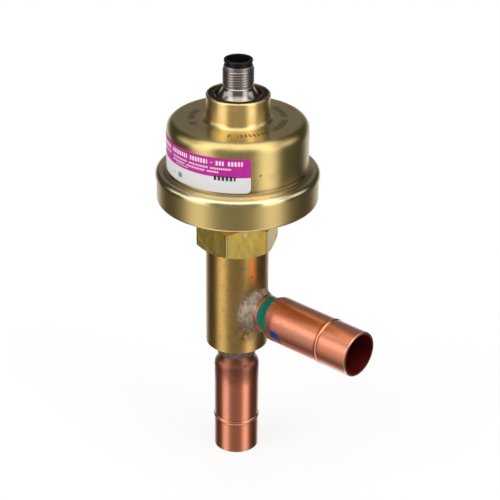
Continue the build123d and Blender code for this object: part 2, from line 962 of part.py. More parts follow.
half_claw = 180 / claw_count
stator_lower_cup = pole_cup(stator_bottom, stator_middle, 0)
pole_plate_lower = pole_plate(stator_middle, stator_bottom, half_claw)
pole_plate_upper = pole_plate(stator_middle, stator_top, 0)
stator_upper_cup = pole_cup(stator_top, stator_middle, half_claw)


def bobbin(low, high):
    """A coil former with two flanges."""
    core_in = claw_out + bobbin_gap
    core_out = core_in + bobbin_wall
    flange = stator_r - stator_sheet - bobbin_gap
    return turned(
        [
            (core_in, low),
            (flange, low),
            (flange, low + bobbin_wall),
            (core_out, low + bobbin_wall),
            (core_out, high - bobbin_wall),
            (flange, high - bobbin_wall),
            (flange, high),
            (core_in, high),
        ],
        [0] * 8,
    )


def winding(low, high):
    """The copper wire on a bobbin, as one ring."""
    core = claw_out + bobbin_gap + bobbin_wall + press_gap
    outer = stator_r - stator_sheet - bobbin_gap - winding_inset
    return ring(core, outer, low + bobbin_wall + press_gap, high - bobbin_wall - press_gap)


coil_low = (stator_bottom + stator_sheet + press_gap, stator_middle - stator_sheet - press_gap)
coil_high = (stator_middle + stator_sheet + press_gap, stator_top - stator_sheet - press_gap)
bobbin_lower = bobbin(*coil_low)
bobbin_upper = bobbin(*coil_high)
winding_lower = winding(*coil_low)
winding_upper = winding(*coil_high)

# The rotor
rotor_magnet = ring(rotor_r - magnet_wall, rotor_r, hub_bottom, hub_top)
rotor_hub = ring(shaft_radius + press_gap, rotor_r - magnet_wall - press_gap, hub_bottom, hub_top)

bush_in = shaft_radius + running_gap
rotor_bottom_bush = turned(
    [
        (bush_in, top_plate_bottom),
        (bush_radius, top_plate_bottom),
        (bush_radius, stator_bottom),
        (bush_flange, stator_bottom),
        (bush_flange, stator_bottom + bush_flange_height),
        (bush_in, stator_bottom + bush_flange_height),
    ],
    [0] * 6,
)
rotor_top_bush = turned(
    [
        (bush_in, stator_top - bush_flange_height),
        (bush_flange, stator_top - bush_flange_height),
        (bush_flange, stator_top),
        (bush_radius, stator_top),
        (bush_radius, end_plate_top),
        (bush_in, end_plate_top),
    ],
    [0] * 6,
)

with BuildPart() as motor_end_plate:
    with BuildSketch(Plane.XY.offset(stator_top)):
        Circle(end_plate_r)
        Circle(bush_radius + press_gap, mode=Mode.SUBTRACT)
        with lead_spots:
            Circle(lead_radius + loose_gap, mode=Mode.SUBTRACT)
    extrude(amount=end_plate)

# The spring bears on the end plate's rim and on the flat of the dome's ceiling
spring_top_r = dome_r - dome_shoulder - spring_inset
retaining_spring = turned(
    [
        (end_plate_r - 2 * spring_sheet, end_plate_top),
        (end_plate_r, end_plate_top),
        (end_plate_r, end_plate_top + spring_sheet),
        (spring_top_r, dome_ceiling),
        (spring_top_r - spring_sheet, dome_ceiling),
        (spring_top_r - spring_sheet, dome_ceiling - spring_sheet),
    ],
    [0] * 6,
)

# Leads from the upper bobbin to the board
lead_run = end_plate_top + board_rise
lead_start = stator_top - stator_sheet - press_gap
lead_end_radius = board_r - 2 * lead_radius
with BuildPart() as one_lead:
    with BuildLine(Plane.XZ) as lead_path:
        FilletPolyline(
            (lead_circle, lead_start),
            (lead_circle, lead_run),
            (lead_end_radius, lead_run),
            radius=lead_bend,
        )
    with BuildSketch(Plane.XY.offset(lead_start)):
        with Locations((lead_circle, 0)):
            Circle(lead_radius)
    sweep()
with BuildPart() as coil_leads:
    for index in range(lead_count):
        add(one_lead.part.moved(Location((0, 0, 0), (0, 0, lead_turn + 360 / lead_count * index))))

pieces = {
    "bottom_tube": bottom_tube,
    "side_tube": side_tube,
    "valve_body": valve_body,
    "seat_ring": seat_ring,
    "bottom_braze": bottom_braze,
    "side_braze": side_braze,
    "hex_adapter": hex_adapter,
    "housing_braze": housing_braze,
    "lower_housing": lower_housing,
    "top_housing": top_housing,
    "rating_label": rating_label,
    "connector_stub": connector_stub,
    "gland_sleeve": gland_sleeve,
    "neck_seal_ring": neck_seal_ring,
    "pin_header": pin_header,
    "glass_seals": glass_seals,
    "contact_pins": contact_pins,
    "contact_insert": contact_insert,
    "terminal_board": terminal_board,
    "dust_plug": dust_plug,
    "gearbox_bottom_plate": gearbox_bottom_plate,
    "gearbox_top_plate": gearbox_top_plate,
    "gearbox_posts": gearbox_posts,
    "idler_arbor_1": idler_arbor_1,
    "idler_arbor_2": idler_arbor_2,
    "idler_gear_1": idler_gear_1,
    "idler_gear_2": idler_gear_2,
    "output_gear": output_gear,
    "lead_screw": lead_screw,
    "screw_bushing": screw_bushing,
    "thrust_washer": thrust_washer,
    "retaining_ring": retaining_ring,
    "piston": piston,
    "piston_nut": piston_nut,
    "piston_seal": piston_seal,
    "seal_screw": seal_screw,
    "key_pin": key_pin,
    "stator_lower_cup": stator_lower_cup,
    "stator_upper_cup": stator_upper_cup,
    "pole_plate_lower": pole_plate_lower,
    "pole_plate_upper": pole_plate_upper,
    "bobbin_lower": bobbin_lower,
    "bobbin_upper": bobbin_upper,
    "winding_lower": winding_lower,
    "winding_upper": winding_upper,
    "rotor_magnet": rotor_magnet,
    "rotor_hub": rotor_hub,
    "rotor_shaft": rotor_shaft,
    "rotor_bottom_bush": rotor_bottom_bush,
    "rotor_top_bush": rotor_top_bush,
    "motor_end_plate": motor_end_plate,
    "retaining_spring": retaining_spring,
    "coil_leads": coil_leads,
}
os.makedirs("parts", exist_ok=True)
for name, piece in pieces.items():
    piece.part.label = name
    export_step(piece.part, f"parts/{name}.step")
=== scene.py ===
import math

import bmesh
import bpy
from mathutils import Matrix, Vector, noise


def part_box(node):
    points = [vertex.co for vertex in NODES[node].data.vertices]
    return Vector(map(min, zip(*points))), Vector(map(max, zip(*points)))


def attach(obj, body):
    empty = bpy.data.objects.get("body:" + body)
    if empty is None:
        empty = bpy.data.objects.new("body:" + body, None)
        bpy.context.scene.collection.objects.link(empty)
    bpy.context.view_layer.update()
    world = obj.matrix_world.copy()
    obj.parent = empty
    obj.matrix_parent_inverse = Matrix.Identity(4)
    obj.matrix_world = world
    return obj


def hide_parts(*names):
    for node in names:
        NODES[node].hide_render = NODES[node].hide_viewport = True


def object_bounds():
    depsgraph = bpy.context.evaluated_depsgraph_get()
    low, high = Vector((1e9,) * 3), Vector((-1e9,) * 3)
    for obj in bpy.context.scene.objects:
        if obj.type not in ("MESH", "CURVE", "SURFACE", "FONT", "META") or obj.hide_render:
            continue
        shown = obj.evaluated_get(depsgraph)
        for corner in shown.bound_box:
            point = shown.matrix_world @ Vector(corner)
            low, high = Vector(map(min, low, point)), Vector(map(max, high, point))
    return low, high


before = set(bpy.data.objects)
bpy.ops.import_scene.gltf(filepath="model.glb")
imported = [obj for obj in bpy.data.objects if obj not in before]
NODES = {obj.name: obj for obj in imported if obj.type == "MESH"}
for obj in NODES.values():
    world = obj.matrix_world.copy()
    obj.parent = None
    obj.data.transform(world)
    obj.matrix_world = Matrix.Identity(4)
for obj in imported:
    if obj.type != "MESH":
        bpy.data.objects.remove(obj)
cad_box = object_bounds()

bl_info = {
    "name": "Refrigeration modulating valve",
    "version": (1, 0, 0),
    "blender": (4, 5, 0),
    "location": "View3D > Sidebar > Valve",
    "description": "Dresses the packed valve: metals, label, braze, thread, plug and a plain studio",
    "category": "Object",
}

MM = 0.001


def low_high(node, axis):
    """A CAD node's extent along one axis, in millimetres."""
    low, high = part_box(node)
    return low["xyz".index(axis)] / MM, high["xyz".index(axis)] / MM


# In millimetres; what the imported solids' boxes don't give is written out
BODY_RADIUS = low_high("valve_body", "y")[1]
BODY_BOTTOM, HEX_BOTTOM = low_high("valve_body", "z")
SIDE_REACH = low_high("side_tube", "x")[1]
SIDE_AXIS = sum(low_high("side_tube", "z")) / 2
NECK_RADIUS = 7.5
STUB_BOTTOM, STUB_TOP = low_high("connector_stub", "z")
THREAD_LENGTH = 8.5
FLARE_TOP = STUB_TOP - THREAD_LENGTH
FLANGE_RADIUS = low_high("connector_stub", "x")[1]
DOME_NECK_HEIGHT = 10.3
DOME_TOP = low_high("top_housing", "z")[1] - DOME_NECK_HEIGHT
LABEL_BOTTOM = low_high("rating_label", "z")[0]
LABEL_RADIUS = 27.3
CUP_BOTTOM, CUP_TOP = low_high("lower_housing", "z")


class Value:
    """An output socket that adds Math nodes when it is used in an expression."""

    def __init__(self, nodes, socket):
        self.nodes = nodes
        self.socket = socket

    def math(self, operation, *others):
        return self.nodes.node("ShaderNodeMath", dict(enumerate((self, *others))), operation=operation)

    def __add__(self, other):
        return self.math("ADD", other)

    def __sub__(self, other):
        return self.math("SUBTRACT", other)

    def __rsub__(self, other):
        return self.nodes.node("ShaderNodeMath", {0: other, 1: self}, operation="SUBTRACT")

    def __mul__(self, other):
        return self.math("MULTIPLY", other)

    def __truediv__(self, other):
        return self.math("DIVIDE", other)

    def __pow__(self, other):
        return self.math("POWER", other)

    def __abs__(self):
        return self.math("ABSOLUTE")

    __radd__, __rmul__ = __add__, __mul__


class Nodes:
    """A node tree that is being filled."""

    def __init__(self, tree):
        self.tree = tree

    def node(self, kind, sockets=None, output=0, **settings):
        """One node: its settings first, then its sockets' values or links."""
        made = self.tree.nodes.new(kind)
        for name, setting in settings.items():
            setattr(made, name, setting)
        for key, value in (sockets or {}).items():
            if isinstance(value, Value):
                self.tree.links.new(value.socket, made.inputs[key])
            else:
                made.inputs[key].default_value = value
        return Value(self, made.outputs[output])

    def split(self, vector):
        """The three parts of a vector."""
        parts = self.node("ShaderNodeSeparateXYZ", {0: vector}).socket.node
        return [Value(self, socket) for socket in parts.outputs]

    def blend(self, amount, first, second):
        """A colour between two."""
        first, second = (c if isinstance(c, Value) else (*c, 1.0) for c in (first, second))
        return self.node("ShaderNodeMix", {0: amount, 6: first, 7: second}, output=2, data_type="RGBA")

    def layers(self, base, *layers):
        """A base colour with others laid over it, each by its own amount."""
        for amount, colour in layers:
            base = self.blend(amount, base, colour)
        return base

    def step(self, value, start, end):
        """Nought before start and one after end, eased between them; start may be the larger."""
        return self.node("ShaderNodeMapRange", {0: value, 1: start, 2: end}, interpolation_type="SMOOTHSTEP")

    def between(self, value, low, high, soft):
        """One where the value lies between two limits, with soft edges."""
        return self.step(value, low - soft, low + soft) * self.step(value, high + soft, high - soft)

    def noise(self, vector, scale, detail, roughness):
        """A cloud of values round a half."""
        sockets = {"Vector": vector, "Scale": scale, "Detail": detail, "Roughness": roughness}
        return self.node("ShaderNodeTexNoise", sockets)


class Finish(Nodes):
    """A material, with its piece's place in millimetres and in rings round the valve's axis."""

    def __init__(self, name):
        self.material = bpy.data.materials.new(name)
        self.material.use_nodes = True
        super().__init__(self.material.node_tree)
        self.shader = self.tree.nodes["Principled BSDF"]
        metres = self.node("ShaderNodeTexCoord", output="Object")
        self.place = self.node("ShaderNodeVectorMath", {0: metres, "Scale": 1 / MM}, operation="SCALE")
        self.x, self.y, self.z = self.split(self.place)

    def cloud(self, scale, detail, roughness):
        """Noise by the place on the piece."""
        return self.noise(self.place, scale, detail, roughness)

    def away(self, centre):
        """The distance from a place in millimetres."""
        return self.node("ShaderNodeVectorMath", {0: self.place, 1: centre}, output=1, operation="DISTANCE")

    def mark(self, centre, outer, inner):
        """A round mark that fades between two distances from its centre."""
        return self.step(self.away(centre), outer, inner)

    def ring(self):
        """The distance from the valve's axis."""
        return (self.x**2.0 + self.y**2.0) ** 0.5

    def side_ring(self):
        """The distance from the side fitting's axis."""
        return (self.y**2.0 + (self.z - SIDE_AXIS) ** 2.0) ** 0.5

    def turn(self, zero):
        """The angle about the valve's axis in degrees, from a direction; its seam lies opposite."""
        back = math.radians(-zero)
        across = self.x * math.cos(back) - self.y * math.sin(back)
        along = self.x * math.sin(back) + self.y * math.cos(back)
        return along.math("ARCTAN2", across) * (180 / math.pi)

    def grooves(self, fine, around=0.6):
        """Fine turning or polishing lines round the valve's axis."""
        radius = self.ring()
        east, north = self.x / radius * around, self.y / radius * around
        vector = self.node("ShaderNodeCombineXYZ", {0: east, 1: north, 2: radius * fine + self.z * fine})
        return self.noise(vector, 1.0, 4.0, 0.7)

    def bump(self, height, depth):
        """A normal from a height of nought to one, depth in millimetres."""
        return self.node("ShaderNodeBump", {"Height": height, "Distance": depth * MM})

    def set(self, **inputs):
        """Fills the shader's sockets, named in lower case with underscores."""
        for name, value in inputs.items():
            socket = self.shader.inputs[name.replace("_", " ").title().replace("Ior", "IOR")]
            if isinstance(value, Value):
                self.tree.links.new(value.socket, socket)
            elif socket.type == "RGBA":
                socket.default_value = (*value, 1.0)
            else:
                socket.default_value = value
        return self.material


# Shader constants of lacquered brass: the dome, polished round its axis, and all the rest
TURNED = {
    "anisotropic": 0.8, "anisotropic_rotation": 0.25,
    "coat_weight": 0.5, "coat_roughness": 0.22, "coat_ior": 1.5,
}
DRAWN = {"coat_weight": 0.35, "coat_roughness": 0.18, "coat_ior": 1.5}


def dress(material, *nodes):
    """Gives CAD nodes a material."""
    for name in nodes:
        mesh = NODES[name].data
        mesh.materials.clear()
        mesh.materials.append(material)


def mesh_of(name, shape, material):
    """A mesh from a finished bmesh."""
    mesh = bpy.data.meshes.new(name)
    shape.to_mesh(mesh)
    shape.free()
    mesh.materials.append(material)
    return mesh


def placed(name, data):
    """A new object in the scene."""
    made = bpy.data.objects.new(name, data)
    bpy.context.scene.collection.objects.link(made)
    return made


def settle(name, shape, material, body, replaced, crease):
    """Turns a finished bmesh into a piece that rides on a body; crease is the angle of a sharp edge."""
    bmesh.ops.recalc_face_normals(shape, faces=shape.faces)
    for face in shape.faces:
        face.smooth = True
    for edge in shape.edges:
        if len(edge.link_faces) == 2 and edge.calc_face_angle() > math.radians(crease):
            edge.smooth = False
    bmesh.ops.scale(shape, vec=(MM, MM, MM), verts=shape.verts)
    piece = placed(name, mesh_of(name, shape, material))
    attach(piece, body)
    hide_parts(*replaced)


def drawn(shape, outline):
    """The corners and edges of a closed outline of (radius, height), in millimetres."""
    corners = [shape.verts.new((radius, 0, height)) for radius, height in outline]
    return corners, [shape.edges.new(pair) for pair in zip(corners, corners[1:] + corners[:1])]


def spun(outline, steps):
    """A closed outline spun once about the Z axis."""
    shape = bmesh.new()
    corners, edges = drawn(shape, outline)
    bmesh.ops.spin(
        shape, geom=corners + edges, axis=(0, 0, 1), angle=2 * math.pi, steps=steps, use_merge=True
    )
    return shape


def direction(turn, rise=0.0):
    """A unit vector, turned from -Y and raised above the horizon by angles in radians."""
    return Vector((math.sin(turn) * math.cos(rise), -math.cos(turn) * math.cos(rise), math.sin(rise)))


def look_back(made, way, roll=0.0):
    """Turns a lamp or camera to look against a direction."""
    made.rotation_mode = "QUATERNION"
    leaning = Matrix.Rotation(roll, 3, "Z").to_quaternion()
    made.rotation_quaternion = (-way).to_track_quat("-Z", "Y") @ leaning


class ValveColours(bpy.types.PropertyGroup):
    """Colours that a user may change."""

    def colour(name, description, default):
        return bpy.props.FloatVectorProperty(
            name=name, description=description, default=default, subtype="COLOR", size=3, min=0, max=1
        )

    brass: colour("Brass", "Satin brass of the drawn housings", (0.68, 0.505, 0.185))
    olive: colour("Dull brass", "Duller brass where it is handled", (0.54, 0.42, 0.16))
    hex_brass: colour("Hexagon brass", "Yellower brass of the adapter", (0.84, 0.60, 0.115))
    body_brass: colour("Body brass", "Browner brass of the body", (0.72, 0.415, 0.098))
    copper: colour("Copper", "Pinkish copper of the fittings", (0.90, 0.245, 0.095))
    burnt_and_shade: colour("Heated copper", "Darkened copper by the joints", (0.22, 0.06, 0.03))
    braze: colour("Braze", "Grey-beige braze metal and flux", (0.235, 0.18, 0.118))
    magenta: colour("Label field", "Main field of the label", (0.47, 0.010, 0.28))
    label_grey: colour("Label strip", "Pale strip of the label", (0.72, 0.71, 0.71))
    steel: colour("Steel", "Grey-brown steel of the connector", (0.50, 0.45, 0.405))
    paint: colour("Paint", "Band of paint on the side fitting", (0.0, 0.14, 0.095))
    ink: colour("Ink", "Smudge of ink on the side fitting", (0.012, 0.025, 0.16))


class ValveSizes(bpy.types.PropertyGroup):
    """Sizes of the dressed detail, and the view's angles."""

    def size(name, description, default, low, high):
        return bpy.props.FloatProperty(name=name, description=description, default=default, min=low, max=high)

    def angle(name, description, degrees):
        return bpy.props.FloatProperty(
            name=name, description=description, default=math.radians(degrees),
            subtype="ANGLE", unit="ROTATION",
        )

    thread_pitch: size("Thread pitch", "Pitch of the connector's thread, mm", 1.0, 0.3, 3.0)
    thread_depth: size("Thread depth", "Depth of the connector's thread, mm", 0.32, 0.1, 1.0)
    saddle_height: size("Saddle height", "Rise of the side braze along the neck, mm", 3.4, 0.5, 5.0)
    camera_turn: angle("Camera azimuth", "Direction of the view round the valve", 41.8)
    camera_rise: angle("Camera elevation", "Height of the view above the horizon", 27.1)


class ValveStep(bpy.types.Operator):
    """One group of the valve's pieces."""

    bl_options = {"REGISTER"}

    def execute(self, context):
        self.make(context.scene.valve_colours, context.scene.valve_sizes)
        return {"FINISHED"}


class VALVE_OT_housings(ValveStep):
    """Gives the drawn dome and cup their satin brass"""

    bl_idname = "valve.housings"
    bl_label = "Brass housings"

    # The ring of strokes: its radii, and in degrees the pitch of a stroke and of a word
    etched_ring = (16.3, 19.0)
    stroke_pitch, word_pitch = 5.2, 47.0
    # Heights over the cup's top of the rim, which gets a painted highlight, and of the crease above it, which
    # gets painted shade
    rim = (0.5, 2.8)
    crease = (3.1, 4.7)
    chip = (23.6, -13.5, 133.9)

    stained = (0.36, 0.25, 0.10)
    golden_lit = (0.80, 0.61, 0.265)
    shaded = (0.14, 0.095, 0.04)
    painted_rim_highlight = (0.94, 0.82, 0.54)
    painted_edge_highlight = (0.84, 0.70, 0.40)
    etched_brown = (0.11, 0.05, 0.015)
    chip_brown = (0.10, 0.05, 0.02)

    def make(self, colours, sizes):
        dress(self.dome(colours), "top_housing")
        dress(self.cup(colours), "lower_housing")

    def dome(self, colours):
        finish = Finish("brass_dome")
        radius = finish.ring()
        over_cup = finish.z - CUP_TOP
        cloud = finish.cloud(0.09, 4.0, 0.6)
        stain = finish.cloud(0.5, 5.0, 0.65)
        lines = finish.grooves(9.0)
        broad = finish.grooves(1.1, 0.4)
        patch = finish.step(finish.cloud(0.22, 5.0, 0.7), 0.48, 0.7)
        # A lighter, more golden brass on the neck, round its foot and a little on the top: partly the brass's
        # own tone, partly painted light that brightens them
        golden_lit = finish.step(finish.z, DOME_TOP - 4.0, DOME_TOP) * 0.2
        golden_lit = golden_lit + finish.step(radius, 15.0, 12.8) * 0.8
        crease = finish.between(over_cup, *self.crease, 0.4) * finish.step(radius, 29.4, 28.4)
        rim = finish.between(over_cup, *self.rim, 0.6) * finish.step(radius, 28.0, 29.0)
        etched = self.strokes(finish, radius) * (0.65 + stain * 0.6).math("MINIMUM", 1.0)
        colour = finish.layers(
            colours.brass,
            (finish.step(cloud, 0.35, 0.75) * 0.35, colours.olive),
            (patch * 0.3, self.stained),
            (golden_lit, self.golden_lit),
            # Painted shade in the crease above the rim, and a painted highlight on the rim's top
            (crease * 0.6, self.shaded),
            (rim * 0.5, self.painted_rim_highlight),
            (etched * 0.9, self.etched_brown),
            (finish.mark(self.chip, 0.7, 0.3) * 0.7, self.chip_brown),
        )
        flat = finish.step(finish.z, DOME_TOP - 1.0, DOME_TOP - 0.2) * finish.step(radius, 13.8, 14.6)
        rough = 0.27 + cloud * 0.08 + etched * 0.15 + lines * 0.06 - flat * 0.05 - rim * 0.12
        height = lines * 0.55 + broad * 0.3 + stain * 0.15 - etched * 0.5
        # The rim's top falls away outwards a little
        slope = finish.step(radius, 31.7, 28.4) * finish.step(over_cup, 3.6, 2.6)
        return finish.set(
            base_color=colour, metallic=1.0, roughness=rough,
            normal=finish.bump(height * 0.02 + slope, 0.6), **TURNED,
        )

    def strokes(self, finish, radius):
        """A ring of short plain strokes, where the real dome is etched."""
        angle = finish.turn(100.0)
        stroke = (angle / self.stroke_pitch + 60.0).math("FRACT")
        word = (angle / self.word_pitch + 8.3).math("FRACT")
        shown = finish.between(angle, -160.0, -18.0, 1.0) + finish.between(angle, 95.0, 146.0, 1.0)
        return (
            finish.between(radius, *self.etched_ring, 0.12)
            * finish.between(stroke, 0.14, 0.72, 0.06)
            * shown
            * finish.step(word, 0.13, 0.16)
            * finish.step(finish.z, DOME_TOP - 1.0, DOME_TOP - 0.4)
        )

    def cup(self, colours):
        finish = Finish("brass_cup")
        cloud = finish.cloud(0.08, 4.0, 0.6)
        fine = finish.cloud(2.2, 3.0, 0.6)
        lines = finish.grooves(7.0)
        # A painted highlight along the cup's lower edge
        edge = finish.step(finish.z, CUP_BOTTOM + 1.9, CUP_BOTTOM + 0.7)
        colour = finish.layers(
            colours.brass,
            (finish.step(cloud, 0.3, 0.8) * 0.3, colours.olive),
            (edge * 0.25, self.painted_edge_highlight),
        )
        rough = 0.31 + cloud * 0.06 + fine * 0.04 - edge * 0.05
        return finish.set(
            base_color=colour, metallic=1.0, roughness=rough,
            normal=finish.bump(lines * 0.7 + fine * 0.3, 0.009), **DRAWN,
        )


class VALVE_OT_brass_body(ValveStep):
    """Gives the hexagon adapter and the body their turned brass"""

    bl_idname = "valve.brass_body"
    bl_label = "Adapter and body"

    nick = (12.0, -8.2, HEX_BOTTOM + 11.0)
    soot = (10.8, -6.2, SIDE_AXIS - 8.3)
    pit = (11.6, -4.0, 83.7)
    # The painted reflection of the side fitting's copper, an orange stripe: its direction in degrees, and the
    # heights between which it comes in
    stripe_turn, stripe = -19.0, (77.0, 83.0)
    # The radius from which the hexagon's corners get a painted highlight, with painted shade just inside it
    corner = 16.35

    warm = (0.80, 0.42, 0.12)
    corner_shade = (0.22, 0.16, 0.06)
    painted_corner_highlight = (0.98, 0.88, 0.62)
    nick_light = (0.90, 0.82, 0.60)
    stained = (0.34, 0.20, 0.065)
    speckled = (0.32, 0.175, 0.05)
    heated = (0.34, 0.21, 0.12)
    reflection_orange = (0.98, 0.42, 0.10)
    flux_grey = (0.26, 0.22, 0.17)
    soot_brown = (0.10, 0.06, 0.03)
    pit_brown = (0.06, 0.04, 0.03)

    def make(self, colours, sizes):
        dress(self.adapter(colours), "hex_adapter")
        dress(self.body(colours), "valve_body")

    def adapter(self, colours):
        finish = Finish("brass_adapter")
        cloud = finish.cloud(0.12, 3.0, 0.5)
        scuff = finish.cloud(1.6, 5.0, 0.7)
        lines = finish.grooves(6.0)
        wave = finish.cloud(0.22, 2.0, 0.5)
        radius = finish.ring()
        nick = finish.mark(self.nick, 1.1, 0.33)
        edge = finish.step(radius, self.corner, self.corner + 0.2)
        beside = finish.between(radius, self.corner - 0.23, self.corner + 0.03, 0.06)
        foot = finish.step(finish.z, HEX_BOTTOM + 0.5, HEX_BOTTOM + 0.2)
        warm = finish.step(finish.z, HEX_BOTTOM + 9.5, HEX_BOTTOM + 12.5) * finish.step(scuff, 0.42, 0.6)
        colour = finish.layers(
            colours.hex_brass,
            (finish.step(cloud, 0.3, 0.75) * 0.4, colours.olive),
            (warm * 0.35, self.warm),
            # Painted shade just inside the corners, and a painted highlight on the corners and along the
            # bottom edge
            (beside * 0.5, self.corner_shade),
            (edge.math("MAXIMUM", foot) * 0.6, self.painted_corner_highlight),
            (nick * 0.6, self.nick_light),
        )
        rough = 0.30 + cloud * 0.08 + finish.step(scuff, 0.5, 0.7) * 0.12
        height = lines * 0.5 + scuff * 0.4 - nick
        return finish.set(
            base_color=colour, metallic=1.0, roughness=rough,
            normal=finish.bump(height * 0.1 + wave, 0.2), **DRAWN,
        )

    def body(self, colours):
        finish = Finish("brass_body")
        cloud = finish.cloud(0.13, 4.0, 0.6)
        speck = finish.cloud(1.9, 6.0, 0.75)
        patch = finish.cloud(0.3, 5.0, 0.7)
        lines = finish.grooves(5.0)
        low = finish.step(finish.z, BODY_BOTTOM + 11.0, BODY_BOTTOM + 2.0)
        # One round the side joint, fading over a few millimetres
        wander = finish.cloud(0.35, 3.0, 0.6) * 6.0
        near = finish.step(finish.away((BODY_RADIUS, 0.0, SIDE_AXIS)) + wander, 20.0, 13.0)
        # A painted reflection of the side fitting's copper on the body
        reflected_copper = finish.between(finish.turn(self.stripe_turn), -7.0, 7.0, 4.0)
        reflected_copper = reflected_copper * finish.step(finish.z, *self.stripe)
        flux = finish.step(speck, 0.55, 0.68) * (low * 0.8 + near * 0.8).math("MINIMUM", 1.0)
        sooty = finish.mark(self.soot, 5.5, 1.65) * finish.step(patch, 0.36, 0.56)
        pit = finish.mark(self.pit, 0.7, 0.35)
        colour = finish.layers(
            colours.body_brass,
            (finish.step(cloud, 0.3, 0.75) * 0.35, colours.olive),
            (finish.step(patch, 0.5, 0.72) * 0.35, self.stained),
            (finish.step(speck, 0.46, 0.62) * 0.45, self.speckled),
            (near * 0.45, self.heated),
            (reflected_copper * 0.6, self.reflection_orange),
            (flux * 0.8, self.flux_grey),
            (sooty * 0.85, self.soot_brown),
            (pit * 0.7, self.pit_brown),
        )
        rough = 0.29 + cloud * 0.08 + flux * 0.25 + near * 0.12
        height = lines * 0.5 + speck * 0.3 + flux * 0.4 - pit * 0.5
        return finish.set(
            base_color=colour, metallic=1.0 - flux * 0.35, roughness=rough,
            normal=finish.bump(height, 0.016), **DRAWN,
        )


class VALVE_OT_copper(ValveStep):
    """Gives both solder fittings their drawn copper, with the paint and ink on the side one"""

    bl_idname = "valve.copper"
    bl_label = "Copper fittings"

    # The bead that stops the pipe, measured from the mouth
    bead_start, bead_end = 12.9, 15.7
    bore = 8.25
    # Along the side fitting: the paint, a painted shade beside it and the ink
    paint_start, paint_end = 16.6, 21.8
    shade = (22.2, 25.4)
    ink = (25.4, 30.4)

    dulled = (0.62, 0.24, 0.13)
    speckled = (0.46, 0.13, 0.06)
    bead_shade = (0.20, 0.07, 0.04)
    painted_lip_highlight = (0.95, 0.58, 0.40)
    inside_red = (0.24, 0.022, 0.012)

    def make(self, colours, sizes):
        finish = Finish("copper_bottom")
        dress(self.tube(finish, colours, finish.ring(), finish.z, (1.0, 1.0, 0.08)), "bottom_tube")
        finish = Finish("copper_side")
        deep = SIDE_REACH - finish.x
        dress(self.tube(finish, colours, finish.side_ring(), deep, (0.08, 1.0, 1.0), True), "side_tube")

    def tube(self, finish, colours, across, deep, stretch, marked=False):
        """Copper that is darker by the joint and inside; deep runs from the mouth, in millimetres."""
        cloud = finish.cloud(0.16, 4.0, 0.6)
        speck = finish.cloud(1.4, 5.0, 0.7)
        drawn_out = finish.node("ShaderNodeVectorMath", {0: finish.place, 1: stretch}, operation="MULTIPLY")
        lines = finish.noise(drawn_out, 2.2, 4.0, 0.6)
        heat = finish.step(deep + cloud * 7.0, 34.0, 42.0)
        bead = finish.between(deep, self.bead_start, self.bead_start + 0.5, 0.2)
        bead = bead + finish.between(deep, self.bead_end - 0.5, self.bead_end, 0.2)
        inside = finish.step(across, self.bore + 0.1, self.bore - 0.1) * finish.step(deep, 42.0, 38.0)
        colour = finish.layers(
            colours.copper,
            (finish.step(cloud, 0.3, 0.8) * (0.85 if marked else 0.45), self.dulled),
            (finish.step(speck, 0.50, 0.66) * 0.5, self.speckled),
            (heat * (0.35 if marked else 0.8), colours.burnt_and_shade),
            (bead * 0.4, self.bead_shade),
            # A painted highlight round the mouth's lip
            (finish.step(deep, 0.5, 0.15) * 0.7, self.painted_lip_highlight),
            (inside, self.inside_red),
        )
        rough = 0.25 + cloud * 0.08 + speck * 0.08 + heat * 0.12 + inside * 0.3
        coat = 1.0 - inside * 0.7 - heat * (0.1 if marked else 0.5)
        metal = 1.0 - inside * 0.1
        height = lines * 0.5 + speck * 0.35 + cloud * 0.3
        if marked:
            # The angle round the side fitting in degrees: nought on top, positive towards -Y
            angle = (0.0 - finish.y).math("ARCTAN2", finish.z - SIDE_AXIS) * (180 / math.pi)
            paint, ink = self.paint_mask(finish, angle), self.ink_mask(finish, angle)
            marks = paint.math("MAXIMUM", ink)
            # Painted shade beside the paint, in the heated copper's colour
            shade = finish.between(finish.x, *self.shade, 0.9) * finish.between(angle, 48.0, 100.0, 12.0)
            colour = finish.layers(
                colour, (shade * 0.7, colours.burnt_and_shade), (paint, colours.paint), (ink, colours.ink)
            )
            rough = rough + paint * 0.12 + ink * 0.2
            metal = metal - marks * 0.97
            coat = (coat - shade * 0.6 - marks).math("MAXIMUM", 0.0)
            height = height + paint * 1.4
        return finish.set(
            base_color=colour, metallic=metal, roughness=rough, specular_ior_level=0.2,
            normal=finish.bump(height, 0.012), **{**DRAWN, "coat_weight": coat, "coat_ior": 1.8},
        )

    def paint_mask(self, finish, angle):
        """A band of paint on the shoulder, from the top down to the front, tapering at its end."""
        ragged = finish.cloud(0.45, 2.0, 0.5) * 1.4 - 0.7
        shift = finish.step(angle, 50.0, 95.0)
        place = finish.x + ragged
        return (
            finish.step(place - shift * 0.5, self.paint_start, self.paint_start + 0.3)
            * finish.step(place - shift * 2.2, self.paint_end, self.paint_end - 0.3)
            * finish.between(angle + ragged * 6.0, -10.0, 100.0, 2.0)
        )

    def ink_mask(self, finish, angle):
        """A smudge of ink low on the front of the barrel."""
        ragged = finish.cloud(0.7, 3.0, 0.7) * 5.0 - 2.5
        return (
            finish.step(finish.cloud(1.1, 1.0, 0.5), 0.28, 0.33)
            * finish.between(finish.x + ragged, *self.ink, 0.15)
            * finish.between(angle + ragged * 5.0 - (finish.x - 28.0) * 1.4, 91.0, 116.0, 1.5)
        )


